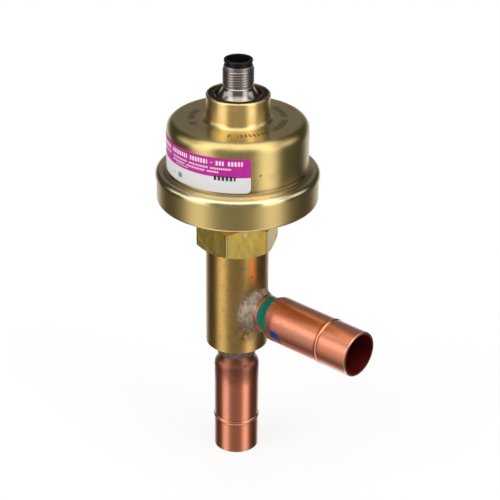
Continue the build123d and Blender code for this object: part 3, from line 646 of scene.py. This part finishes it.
class VALVE_OT_braze(ValveStep):
    """Makes the uneven braze metal at the joints"""

    bl_idname = "valve.braze"
    bl_label = "Braze metal"

    pale = (0.45, 0.355, 0.245)
    rim_shade = (0.13, 0.10, 0.065)
    soot_black = (0.02, 0.014, 0.008)
    crust = (0.46, 0.41, 0.33)
    underside_shade = (0.12, 0.098, 0.075)
    glinting = (0.80, 0.72, 0.58)

    def make(self, colours, sizes):
        material = self.metal(colours)
        self.saddle(material, sizes)
        self.collar(material)
        self.seam(material)

    def metal(self, colours):
        finish = Finish("braze_metal")
        cloud = finish.cloud(0.35, 4.0, 0.6)
        grain = finish.cloud(0.9, 5.0, 0.7)
        glint = finish.cloud(1.6, 3.0, 0.6)
        crack = 1.0 - abs(finish.cloud(0.22, 1.0, 0.5) - 0.5) * 60.0
        over_neck = finish.side_ring() - NECK_RADIUS
        edge = finish.step(over_neck + cloud * 2.0, 2.0, 3.4)
        soot = finish.step(over_neck + cloud * 1.5, 1.4, 2.0) * finish.step(glint, 0.46, 0.52)
        soot = soot * finish.step(finish.z, SIDE_AXIS - 1.0, SIDE_AXIS - 5.0)
        # Darker on the lower side: painted shade
        low = finish.step(finish.z, SIDE_AXIS + 3.0, SIDE_AXIS - 7.0)
        shine = finish.step(glint, 0.64, 0.72).math("MAXIMUM", finish.step(crack, 0.1, 0.8) * 0.6)
        colour = finish.layers(
            colours.braze,
            (finish.step(cloud, 0.4, 0.62), self.pale),
            (edge * 0.5, self.rim_shade),
            (soot * 0.85, self.soot_black),
            (finish.step(grain, 0.56, 0.74) * 0.4, self.crust),
            (low * 0.7, self.underside_shade),
            (shine * 0.6, self.glinting),
        )
        return finish.set(
            base_color=colour, metallic=0.45 + shine * 0.45, roughness=0.50 - shine * 0.26 + grain * 0.15,
            normal=finish.bump(grain * 0.7 + cloud * 0.8, 0.22),
        )

    # How far the side braze spreads over the body, in millimetres, by the angle round the neck in
    # degrees: nought on top and positive towards -Y
    spread = (
        (-180, 3.0), (-150, 2.0), (-90, 1.6), (-7, 1.7), (13, 2.5), (21, 2.7), (34, 2.6), (46, 2.3),
        (68, 1.7), (89, 1.4), (103, 1.5), (115, 1.6), (123, 1.3), (152, 1.2), (167, 1.8), (180, 3.0),
    )
    # The seam's inner radius, on the adapter's boss
    boss = 13.0

    def spread_at(self, angle):
        for (low, first), (high, last) in zip(self.spread, self.spread[1:]):
            if angle <= high:
                break
        return first + (last - first) * (angle - low) / (high - low)

    def saddle(self, material, sizes):
        """Braze that spreads unevenly over the body round the side neck."""
        rings = 16
        outline = [(NECK_RADIUS - 0.1, 0.0)]
        outline += [(NECK_RADIUS + 0.03 + (share / rings) ** 1.5, 1.0) for share in range(rings + 1)]
        outline.append((NECK_RADIUS + 1.1, 0.0))
        shape = spun(outline, 160)
        end = BODY_RADIUS + sizes.saddle_height
        for vert in shape.verts:
            turn = math.atan2(-vert.co.y, vert.co.x)
            over = math.hypot(vert.co.x, vert.co.y) - NECK_RADIUS
            way = Vector((math.cos(turn), -math.sin(turn), 0.0))
            share = min(max(over, 0.0), 1.0)
            lump = 1.0 + 0.25 * noise.noise(way * 3.0) + 0.12 * noise.noise(way * 9.0)
            spread = share * self.spread_at(math.degrees(turn)) * lump
            reach = NECK_RADIUS + (-0.1 if over < 0 else spread + 0.1)
            across, up = way.y * reach, way.x * reach
            floor = max(BODY_RADIUS**2 - across**2, 0.0) ** 0.5
            rise = -0.4
            if vert.co.z > 0.5:
                far = max(0.0, math.cos(turn + math.radians(38.0))) ** 2
                climb = end - 1.9 * far + 0.9 * noise.noise(way * 2.2) - floor
                rough = 0.30 * noise.noise(Vector((across, up, 3.0)) * 0.6)
                rough += 0.16 * noise.noise(Vector((across, up, 7.0)) * 1.7)
                rise = climb * (1.0 - share) ** 2.6 + (0.26 + rough) * (1.0 - share**4)
            vert.co = Vector((floor + rise, across, up + SIDE_AXIS))
        settle("side_braze_saddle", shape, material, "housing", ["side_braze"], 70.0)

    def roughen(self, shape, inner, top, depth, scale, sag=0.0):
        """Pushes a ring's outer side in and out, and its height by sag, all below its top."""
        for vert in shape.verts:
            away = Vector((vert.co.x, vert.co.y, 0))
            if away.length > inner and vert.co.z < top:
                way = away.normalized()
                vert.co += way * depth * noise.noise(vert.co * scale)
                vert.co.z += sag * noise.noise(way * 2.4)

    def collar(self, material):
        """A rough ring of braze under the body."""
        low, high = low_high("bottom_braze", "z")
        profile = (
            (-0.1, high + 0.05), (1.75, high + 0.05), (1.55, high - 0.8), (1.05, high - 1.9),
            (0.75, high - 3.1), (0.5, high - 4.2), (0.16, low + 0.2), (-0.1, low + 0.1),
        )
        outline = [(NECK_RADIUS + out, height) for out, height in profile]
        shape = spun(outline, 96)
        self.roughen(shape, NECK_RADIUS + 0.1, high, 0.32, 0.8, 0.35)
        settle("bottom_braze_collar", shape, material, "housing", ["bottom_braze"], 70.0)

    def seam(self, material):
        """A fine seam between the adapter's boss and the cup."""
        low, high = low_high("housing_braze", "z")
        profile = (
            (-0.05, high), (-0.05, low), (0.25, low + 0.1), (0.55, low + 0.55), (1.1, high - 0.15), (1.3, high)
        )
        outline = [(self.boss + out, height) for out, height in profile]
        shape = spun(outline, 96)
        self.roughen(shape, self.boss + 0.1, high - 0.01, 0.12, 0.9)
        settle("housing_braze_seam", shape, material, "housing", ["housing_braze"], 70.0)


class VALVE_OT_label(ValveStep):
    """Prints plain fields and bars on the rating label"""

    bl_idname = "valve.label"
    bl_label = "Rating label"

    # The label's middle in degrees about the axis, and the height of the line between its fields
    middle = -111.0
    field_edge = 6.2

    white = (0.86, 0.80, 0.85)
    black = (0.012, 0.010, 0.014)
    rubbed = (0.50, 0.40, 0.47)

    # Each bar: start and end along the label, low and high edge, stroke spacing, all in millimetres
    white_bars = (
        (0.5, 9.5, 10.9, 12.6, 1.1), (10.7, 18.6, 10.9, 12.6, 1.2), (19.6, 20.6, 11.6, 11.9, 1.4),
        (21.6, 25.0, 10.9, 12.6, 1.15), (26.2, 32.0, 10.9, 12.6, 1.2), (-14.0, -1.0, 10.9, 12.6, 1.15),
        (1.0, 9.4, 9.2, 9.9, 0.7), (10.2, 19.0, 9.2, 9.9, 0.65), (19.8, 27.7, 9.2, 9.9, 0.7),
        (1.0, 8.0, 7.8, 8.5, 0.75), (8.9, 17.6, 7.8, 8.5, 0.7), (18.4, 23.0, 7.8, 8.5, 0.7),
        (-20.0, -1.0, 9.2, 9.9, 0.8), (-33.0, -22.0, 8.2, 12.2, 2.2), (3.0, 10.2, 7.0, 7.3, 0.6),
    )
    dark_bars = (
        (21.1, 29.4, 4.9, 6.8, 1.5), (4.4, 6.8, 1.9, 3.9, 1.1), (1.6, 2.9, 2.7, 3.1, 3.0),
        (-30.0, -16.0, 2.2, 4.0, 1.5),
    )

    def make(self, colours, sizes):
        finish = Finish("label_film")
        along = finish.turn(self.middle) * (math.pi / 180 * LABEL_RADIUS)
        up = finish.z - LABEL_BOTTOM
        fibre = finish.cloud(1.5, 4.0, 0.6)
        colour = finish.layers(
            colours.label_grey,
            (finish.step(up, self.field_edge - 0.12, self.field_edge + 0.12), colours.magenta),
            (self.bars(finish, along, up, self.white_bars) * 0.85, self.white),
            (self.bars(finish, along, up, self.dark_bars) * 0.97, self.black),
            (finish.step(fibre, 0.45, 0.8) * 0.10, self.rubbed),
        )
        film = finish.set(
            base_color=colour, roughness=0.34 + fibre * 0.1, specular_ior_level=0.25,
            normal=finish.bump(fibre, 0.01),
        )
        dress(film, "rating_label")

    def bars(self, finish, along, up, bars):
        """Rows of short strokes."""
        total = 0.0
        for start, end, low, high, pitch in bars:
            stroke = (along / pitch + 100.0).math("FRACT")
            row = (
                finish.between(along, start, end, 0.06)
                * finish.between(up, low, high, 0.1)
                * finish.between(stroke, 0.14, 0.80, 0.06)
            )
            total = row + total
        return total.math("MINIMUM", 1.0)


class VALVE_OT_connector(ValveStep):
    """Makes the threaded steel stub and dresses the ring, sleeve, insert and pins round it"""

    bl_idname = "valve.connector"
    bl_label = "Connector"

    # Radii of the thread's crest, the bore and the flare's foot, and how far the flare spreads
    crest = 5.95
    bore = 5.1
    foot = 8.4
    flare = 2.1
    flange_height = 3.0

    dull_steel = (0.42, 0.36, 0.31)
    root_brown = (0.16, 0.13, 0.11)
    flare_shade = (0.22, 0.19, 0.17)

    def make(self, colours, sizes):
        self.stub(colours, sizes)
        self.ring()
        self.sleeve()
        self.small_pieces()

    def steel(self, colours):
        finish = Finish("stub_steel")
        cloud = finish.cloud(0.4, 4.0, 0.6)
        grain = finish.cloud(3.0, 4.0, 0.7)
        lines = finish.grooves(8.0)
        radius = finish.ring()
        thread = finish.step(finish.z, FLARE_TOP - 0.2, FLARE_TOP + 0.2)
        # Darker, browner and rougher in the thread's roots
        valley = finish.step(radius, self.crest - 0.08, self.crest - 0.28)
        root_dark = valley * thread * finish.step(radius, self.bore + 0.05, self.bore + 0.2)
        colour = finish.layers(
            colours.steel,
            (finish.step(cloud, 0.35, 0.75) * 0.4, self.dull_steel),
            (root_dark * 0.55, self.root_brown),
            # Painted shade: the flare and flange below the thread are darkened
            ((1.0 - thread) * 0.6, self.flare_shade),
        )
        return finish.set(
            base_color=colour, metallic=1.0, roughness=0.11 + grain * 0.05 + root_dark * 0.15 + thread * 0.09,
            normal=finish.bump(lines * 0.6 + grain * 0.4, 0.007),
        )

    def stub(self, colours, sizes):
        """Flange, flare, thread and chamfered mouth in one tube."""
        core = self.crest - sizes.thread_depth
        flange_top = STUB_BOTTOM + self.flange_height
        outline = [(self.bore, STUB_BOTTOM), (FLANGE_RADIUS, STUB_BOTTOM), (FLANGE_RADIUS, flange_top)]
        outline += [(self.foot, flange_top), (self.foot, flange_top + 0.12)]
        curve_steps = 14
        for index in range(curve_steps + 1):
            share = 1.0 - index / curve_steps
            height = FLARE_TOP - (FLARE_TOP - flange_top - 0.3) * share
            outline.append((self.crest + self.flare * share**1.6, height))
        outline += [
            (core, FLARE_TOP + 0.35),
            (core, STUB_TOP - 0.75),
            (core - 0.05, STUB_TOP - 0.5),
            (self.crest - 0.55, STUB_TOP - 0.06),
            (self.bore + 0.12, STUB_TOP),
            (self.bore, STUB_TOP - 0.12),
        ]
        shape = spun(outline, 128)
        self.ridge(shape, core, FLARE_TOP + 0.3, STUB_TOP - 0.55, sizes.thread_pitch)
        steel = self.steel(colours)
        settle("threaded_stub", shape, steel, "housing", ["connector_stub"], 28.0)

    def ridge(self, shape, core, low, high, pitch):
        """The thread's helical ridge, run out into the core at both ends."""
        turns = (high - low) / pitch - 0.9
        per_turn = 64
        half, crest_half = pitch * 0.42, pitch * 0.17
        root = core - 0.15
        section = [
            (root, low),
            (core, low + 0.02),
            (self.crest, low + half - crest_half),
            (self.crest, low + half + crest_half),
            (core, low + 2 * half - 0.02),
            (root, low + 2 * half),
        ]
        tube = set(shape.verts)
        corners, edges = drawn(shape, section)
        face = shape.faces.new(corners)
        bmesh.ops.spin(
            shape, geom=corners + edges + [face], axis=(0, 0, 1), dvec=(0, 0, pitch / per_turn),
            angle=2 * math.pi * turns, steps=int(turns * per_turn),
        )
        first, last = low + half, low + half + turns * pitch
        for vert in set(shape.verts) - tube:
            share = min(vert.co.z - first, last - vert.co.z) / (0.5 * pitch)
            share = min(max(share, 0.0), 1.0)
            radius = Vector((vert.co.x, vert.co.y)).length
            wanted = root + (radius - root) * (0.15 + 0.85 * share)
            vert.co.x *= wanted / radius
            vert.co.y *= wanted / radius

    def ring(self):
        finish = Finish("black_rubber")
        cloud = finish.cloud(0.8, 4.0, 0.6)
        dust = finish.cloud(2.6, 4.0, 0.7)
        dusty = finish.step(dust, 0.5, 0.8) * 0.35
        colour = finish.blend(dusty, (0.005, 0.005, 0.006), (0.03, 0.027, 0.024))
        rubber = finish.set(
            base_color=colour, roughness=0.55 + cloud * 0.2, specular_ior_level=0.3,
            normal=finish.bump(dust * 0.6 + cloud * 0.4, 0.03),
        )
        dress(rubber, "neck_seal_ring")

    def sleeve(self):
        finish = Finish("sleeve_brass")
        cloud = finish.cloud(0.9, 3.0, 0.6)
        colour = finish.blend(finish.step(cloud, 0.3, 0.7), (0.40, 0.24, 0.13), (0.20, 0.10, 0.05))
        brass = finish.set(
            base_color=colour, metallic=1.0, roughness=0.35 + cloud * 0.15, normal=finish.bump(cloud, 0.02)
        )
        dress(brass, "gland_sleeve")

    def small_pieces(self):
        plain_plastic("insert_plastic", (0.03, 0.03, 0.032), (0.05, 0.05, 0.05), 0.5, "contact_insert")
        plain_metal("pin_gold", (0.83, 0.62, 0.26), (0.70, 0.48, 0.18), 0.16, "contact_pins")
        plain_metal("header_steel", (0.56, 0.56, 0.55), (0.42, 0.41, 0.40), 0.34, "pin_header")
        finish = Finish("seal_glass")
        cloud = finish.cloud(1.2, 3.0, 0.5)
        colour = finish.blend(cloud, (0.05, 0.12, 0.09), (0.10, 0.20, 0.15))
        dress(finish.set(base_color=colour, roughness=0.08 + cloud * 0.05), "glass_seals")


class VALVE_OT_plug(ValveStep):
    """Gives the dust plug its moulded black plastic"""

    bl_idname = "valve.plug"
    bl_label = "Dust plug"

    def make(self, colours, sizes):
        finish = Finish("plug_plastic")
        cloud = finish.cloud(0.6, 3.0, 0.5)
        grain = finish.cloud(5.0, 3.0, 0.6)
        dull = finish.step(cloud, 0.4, 0.8) * 0.5
        colour = finish.blend(dull, (0.003, 0.003, 0.0035), (0.010, 0.010, 0.011))
        plastic = finish.set(
            base_color=colour, roughness=0.36 + cloud * 0.12 + grain * 0.05, specular_ior_level=0.3,
            normal=finish.bump(grain * 0.6 + cloud * 0.4, 0.012),
        )
        dress(plastic, "dust_plug")


def plain_metal(name, light, dark, rough, *nodes, fine=5.0):
    """Dresses inner metal pieces, with clouded colour and fine lines."""
    finish = Finish(name)
    cloud = finish.cloud(0.35, 4.0, 0.6)
    grain = finish.cloud(fine, 3.0, 0.6)
    colour = finish.blend(finish.step(cloud, 0.3, 0.75), light, dark)
    metal = finish.set(
        base_color=colour, metallic=1.0, roughness=rough + cloud * 0.08 + grain * 0.04,
        normal=finish.bump(grain, 0.008),
    )
    dress(metal, *nodes)


def plain_plastic(name, light, dark, rough, *nodes):
    """Dresses inner moulded pieces, with a fine grain."""
    finish = Finish(name)
    cloud = finish.cloud(0.4, 3.0, 0.5)
    grain = finish.cloud(4.0, 4.0, 0.6)
    colour = finish.blend(finish.step(cloud, 0.3, 0.8), light, dark)
    plastic = finish.set(base_color=colour, roughness=rough + grain * 0.1, normal=finish.bump(grain, 0.012))
    dress(plastic, *nodes)


class VALVE_OT_gearbox(ValveStep):
    """Dresses the gear train and its frame"""

    bl_idname = "valve.gearbox"
    bl_label = "Gear train"

    def make(self, colours, sizes):
        plain_metal(
            "plate_steel", (0.62, 0.62, 0.60), (0.48, 0.48, 0.47), 0.30,
            "gearbox_bottom_plate", "gearbox_top_plate", "gearbox_posts", "motor_end_plate",
        )
        plain_metal(
            "ground_steel", (0.70, 0.70, 0.70), (0.60, 0.60, 0.60), 0.14, "idler_arbor_1", "idler_arbor_2",
            "rotor_shaft", "thrust_washer", "retaining_ring", "retaining_spring", "seal_screw",
        )
        plain_plastic(
            "gear_plastic", (0.84, 0.82, 0.75), (0.78, 0.75, 0.67), 0.35,
            "idler_gear_1", "idler_gear_2", "rotor_hub",
        )
        plain_metal("gear_brass", (0.75, 0.60, 0.27), (0.62, 0.48, 0.20), 0.26, "output_gear")
        plain_metal(
            "bush_bronze", (0.52, 0.34, 0.18), (0.38, 0.24, 0.12), 0.48,
            "screw_bushing", "rotor_bottom_bush", "rotor_top_bush", fine=8.0,
        )
        dress(self.board(), "terminal_board")

    def board(self):
        """A green board with two lighter rings of track."""
        finish = Finish("board")
        weave = finish.cloud(2.0, 3.0, 0.5)
        radius = finish.ring()
        track = finish.between(radius, 2.0, 3.8, 0.1) + finish.between(radius, 8.4, 9.4, 0.1)
        colour = finish.blend(track * 0.7, (0.02, 0.14, 0.05), (0.06, 0.26, 0.10))
        return finish.set(
            base_color=colour, roughness=0.35 + weave * 0.12, normal=finish.bump(weave * 0.4 + track, 0.03)
        )


class VALVE_OT_motor(ValveStep):
    """Dresses the step motor"""

    bl_idname = "valve.motor"
    bl_label = "Step motor"

    wire_pitch = 0.28
    pole_pitch = 15.0

    def make(self, colours, sizes):
        plain_metal(
            "stator_sheet", (0.56, 0.57, 0.58), (0.44, 0.45, 0.46), 0.32,
            "stator_lower_cup", "stator_upper_cup", "pole_plate_lower", "pole_plate_upper",
        )
        plain_plastic(
            "coil_former", (0.78, 0.76, 0.68), (0.70, 0.67, 0.58), 0.5, "bobbin_lower", "bobbin_upper"
        )
        dress(self.wire(), "winding_lower", "winding_upper", "coil_leads")
        dress(self.ferrite(), "rotor_magnet")

    def wire(self):
        """Enamelled wire, a fine ridge for each turn."""
        finish = Finish("coil_copper")
        turns = (finish.z / self.wire_pitch).math("FRACT")
        arch = abs(turns - 0.5)
        cloud = finish.cloud(0.5, 3.0, 0.5)
        # Darker towards each turn's edges: painted shade between the turns
        colour = finish.blend(arch * 1.4, (0.62, 0.22, 0.09), (0.22, 0.06, 0.03))
        return finish.set(
            base_color=colour, metallic=0.85, roughness=0.28 + cloud * 0.1,
            normal=finish.bump(1.0 - arch * 2.0, 0.08),
        )

    def ferrite(self):
        """Grey sintered magnet with the faint bounds of its poles."""
        finish = Finish("magnet")
        grain = finish.cloud(3.0, 5.0, 0.7)
        pole = (finish.turn(0.0) / self.pole_pitch + 24.0).math("FRACT")
        line = finish.between(pole, 0.46, 0.54, 0.02)
        colour = finish.blend(grain, (0.045, 0.045, 0.05), (0.09, 0.09, 0.095))
        colour = finish.blend(line * 0.4, colour, (0.14, 0.14, 0.15))
        return finish.set(base_color=colour, roughness=0.5 + grain * 0.15, normal=finish.bump(grain, 0.03))


class VALVE_OT_piston(ValveStep):
    """Dresses the lead screw, the piston and the seat"""

    bl_idname = "valve.piston"
    bl_label = "Piston and seat"

    def make(self, colours, sizes):
        plain_metal(
            "brass_inner", (0.74, 0.60, 0.30), (0.64, 0.50, 0.24), 0.2,
            "piston", "piston_nut", "key_pin", "lead_screw",
        )
        plain_plastic(
            "seal_plastic", (0.86, 0.86, 0.82), (0.78, 0.77, 0.72), 0.28, "piston_seal", "seat_ring"
        )


class VALVE_OT_stage(ValveStep):
    """Makes the floor, the soft studio light and the camera"""

    bl_idname = "valve.stage"
    bl_label = "Stage"

    # The camera, in millimetres and degrees: how far off, what it aims at, its lean and its lens
    distance = 612.0
    aim_height = 90.1
    aim_right = 5.0
    roll = 0.57
    lens = 111.65
    # The floor's and the lamps' places, in metres
    floor_radius = 1.6
    floor_gap = 0.0002
    lamp_distance = 1.1
    lamp_aim = 0.09
    # Each lamp: name, angle round from the camera, rise, size in metres and power
    lamp_rows = (
        ("lamp_left", -55.0, 40.0, 0.7, 1.1),
        ("lamp_right", 50.0, 40.0, 0.6, 0.9),
        ("lamp_top", 0.0, 85.0, 0.9, 0.9),
        ("lamp_back", 180.0, 40.0, 0.8, 0.7),
    )

    def make(self, colours, sizes):
        scene = bpy.context.scene
        scene.view_settings.view_transform = "Standard"
        self.floor()
        self.studio(scene, sizes.camera_turn)
        self.lamps(sizes.camera_turn)
        self.camera(scene, sizes)

    def floor(self):
        shape = bmesh.new()
        bmesh.ops.create_circle(shape, cap_ends=True, segments=96, radius=self.floor_radius)
        nodes = Finish("floor_white")
        nodes.set(base_color=(0.9, 0.9, 0.9), roughness=0.9, specular_ior_level=0.0)
        seen = nodes.node("ShaderNodeLightPath", output="Is Camera Ray")
        white = nodes.node("ShaderNodeEmission", {"Strength": 1.0})
        matt = Value(nodes, nodes.shader.outputs[0])
        mixed = nodes.node("ShaderNodeMixShader", {0: seen * 0.8, 1: matt, 2: white})
        nodes.tree.links.new(mixed.socket, nodes.tree.nodes["Material Output"].inputs["Surface"])
        floor = placed("floor", mesh_of("floor", shape, nodes.material))
        floor.location = (0, 0, cad_box[0].z - self.floor_gap)
        floor.visible_glossy = False

    def studio(self, scene, turn):
        """White to the camera; a soft tent with two bright sides and dark gaps to everything else."""
        world = bpy.data.worlds.new("studio")
        scene.world = world
        world.use_nodes = True
        nodes = Nodes(world.node_tree)
        background = world.node_tree.nodes["Background"]
        way = nodes.node("ShaderNodeTexCoord", output="Generated")
        facing, across = (
            nodes.node("ShaderNodeVectorMath", {0: way, 1: axis}, output=1, operation="DOT_PRODUCT")
            for axis in (direction(turn), direction(turn + math.pi / 2))
        )
        # Angles in degrees: rise above the horizon, and angle round from the camera, right positive
        rise = nodes.split(way)[2].math("ARCSINE") * (180 / math.pi)
        angle = across.math("ARCTAN2", facing) * (180 / math.pi)
        side = abs(angle)
        front = 0.20 * nodes.step(side, 84.0, 24.0) + 0.05
        left = nodes.between(angle, -75.0, -41.0, 9.0) * 1.12
        right = nodes.between(angle, 35.0, 66.0, 10.0) * 1.2
        panels = (left + right) * nodes.step(rise, 75.0, 40.0) * (1.0 + 0.5 * nodes.step(rise, -20.0, 20.0))
        above = nodes.step(rise, 38.0, 54.0) * nodes.step(side, 124.0, 84.0)
        zenith = nodes.step(rise, 54.0, 66.0) * nodes.step(side, 84.0, 124.0)
        zenith = zenith * (1.0 - 0.5 * nodes.step(side, 170.0, 176.0))
        flank = nodes.between(side, 72.0, 106.0, 10.0) * nodes.between(rise, 10.0, 35.0, 8.0) * 1.25
        back = nodes.step(side, 150.0, 168.0) * nodes.step(rise, -4.0, 10.0) * 0.15
        below = nodes.step(rise, -47.0, -68.0) * 0.6
        behind = nodes.step(side, 124.0, 156.0) * nodes.step(rise, 8.0, -10.0) * 0.85
        level = front + panels + (above + zenith) * 1.5 + flank + back + below + behind
        seen = nodes.node("ShaderNodeLightPath", output="Is Camera Ray")
        strength = seen + (1.0 - seen) * level
        nodes.tree.links.new(strength.socket, background.inputs["Strength"])
        background.inputs["Color"].default_value = (1.0, 1.0, 1.0, 1.0)

    def lamps(self, turn):
        """Soft lamps that light paint, rubber and floor, and leave the metal to the tent."""
        for name, angle, rise, size, power in self.lamp_rows:
            lamp = bpy.data.lights.new(name, "AREA")
            lamp.shape = "DISK"
            lamp.size = size
            lamp.energy = power
            holder = placed(name, lamp)
            way = direction(turn + math.radians(angle), math.radians(rise))
            holder.location = Vector((0, 0, self.lamp_aim)) + way * self.lamp_distance
            look_back(holder, way)
            holder.visible_glossy = False

    def camera(self, scene, sizes):
        turn = sizes.camera_turn
        back = direction(turn, sizes.camera_rise)
        right = direction(turn + math.pi / 2)
        camera = placed("camera", bpy.data.cameras.new("camera"))
        camera.data.lens = self.lens
        camera.data.sensor_width = 36.0
        camera.data.clip_start = 0.01
        aim = right * self.aim_right + Vector((0, 0, self.aim_height))
        camera.location = (aim + back * self.distance) * MM
        look_back(camera, back, math.radians(self.roll))
        scene.camera = camera


class VALVE_PT_panel(bpy.types.Panel):
    """Lists the valve's steps"""

    bl_idname = "VALVE_PT_panel"
    bl_label = "Modulating valve"
    bl_space_type = "VIEW_3D"
    bl_region_type = "UI"
    bl_category = "Valve"

    def draw(self, context):
        for step in STEPS:
            self.layout.operator(step.bl_idname)
        for group in (context.scene.valve_colours, context.scene.valve_sizes):
            for name in group.__annotations__:
                self.layout.prop(group, name)


STEPS = (
    VALVE_OT_housings, VALVE_OT_brass_body, VALVE_OT_copper, VALVE_OT_braze, VALVE_OT_label,
    VALVE_OT_connector, VALVE_OT_plug, VALVE_OT_gearbox, VALVE_OT_motor, VALVE_OT_piston, VALVE_OT_stage,
)
CLASSES = (ValveColours, ValveSizes, *STEPS, VALVE_PT_panel)


def register():
    for kind in CLASSES:
        bpy.utils.register_class(kind)
    bpy.types.Scene.valve_colours = bpy.props.PointerProperty(type=ValveColours)
    bpy.types.Scene.valve_sizes = bpy.props.PointerProperty(type=ValveSizes)


def unregister():
    del bpy.types.Scene.valve_sizes
    del bpy.types.Scene.valve_colours
    for kind in reversed(CLASSES):
        bpy.utils.unregister_class(kind)


def main():
    register()
    for step in STEPS:
        group, name = step.bl_idname.split(".")
        getattr(getattr(bpy.ops, group), name)()


if __name__ == "__main__":
    main()
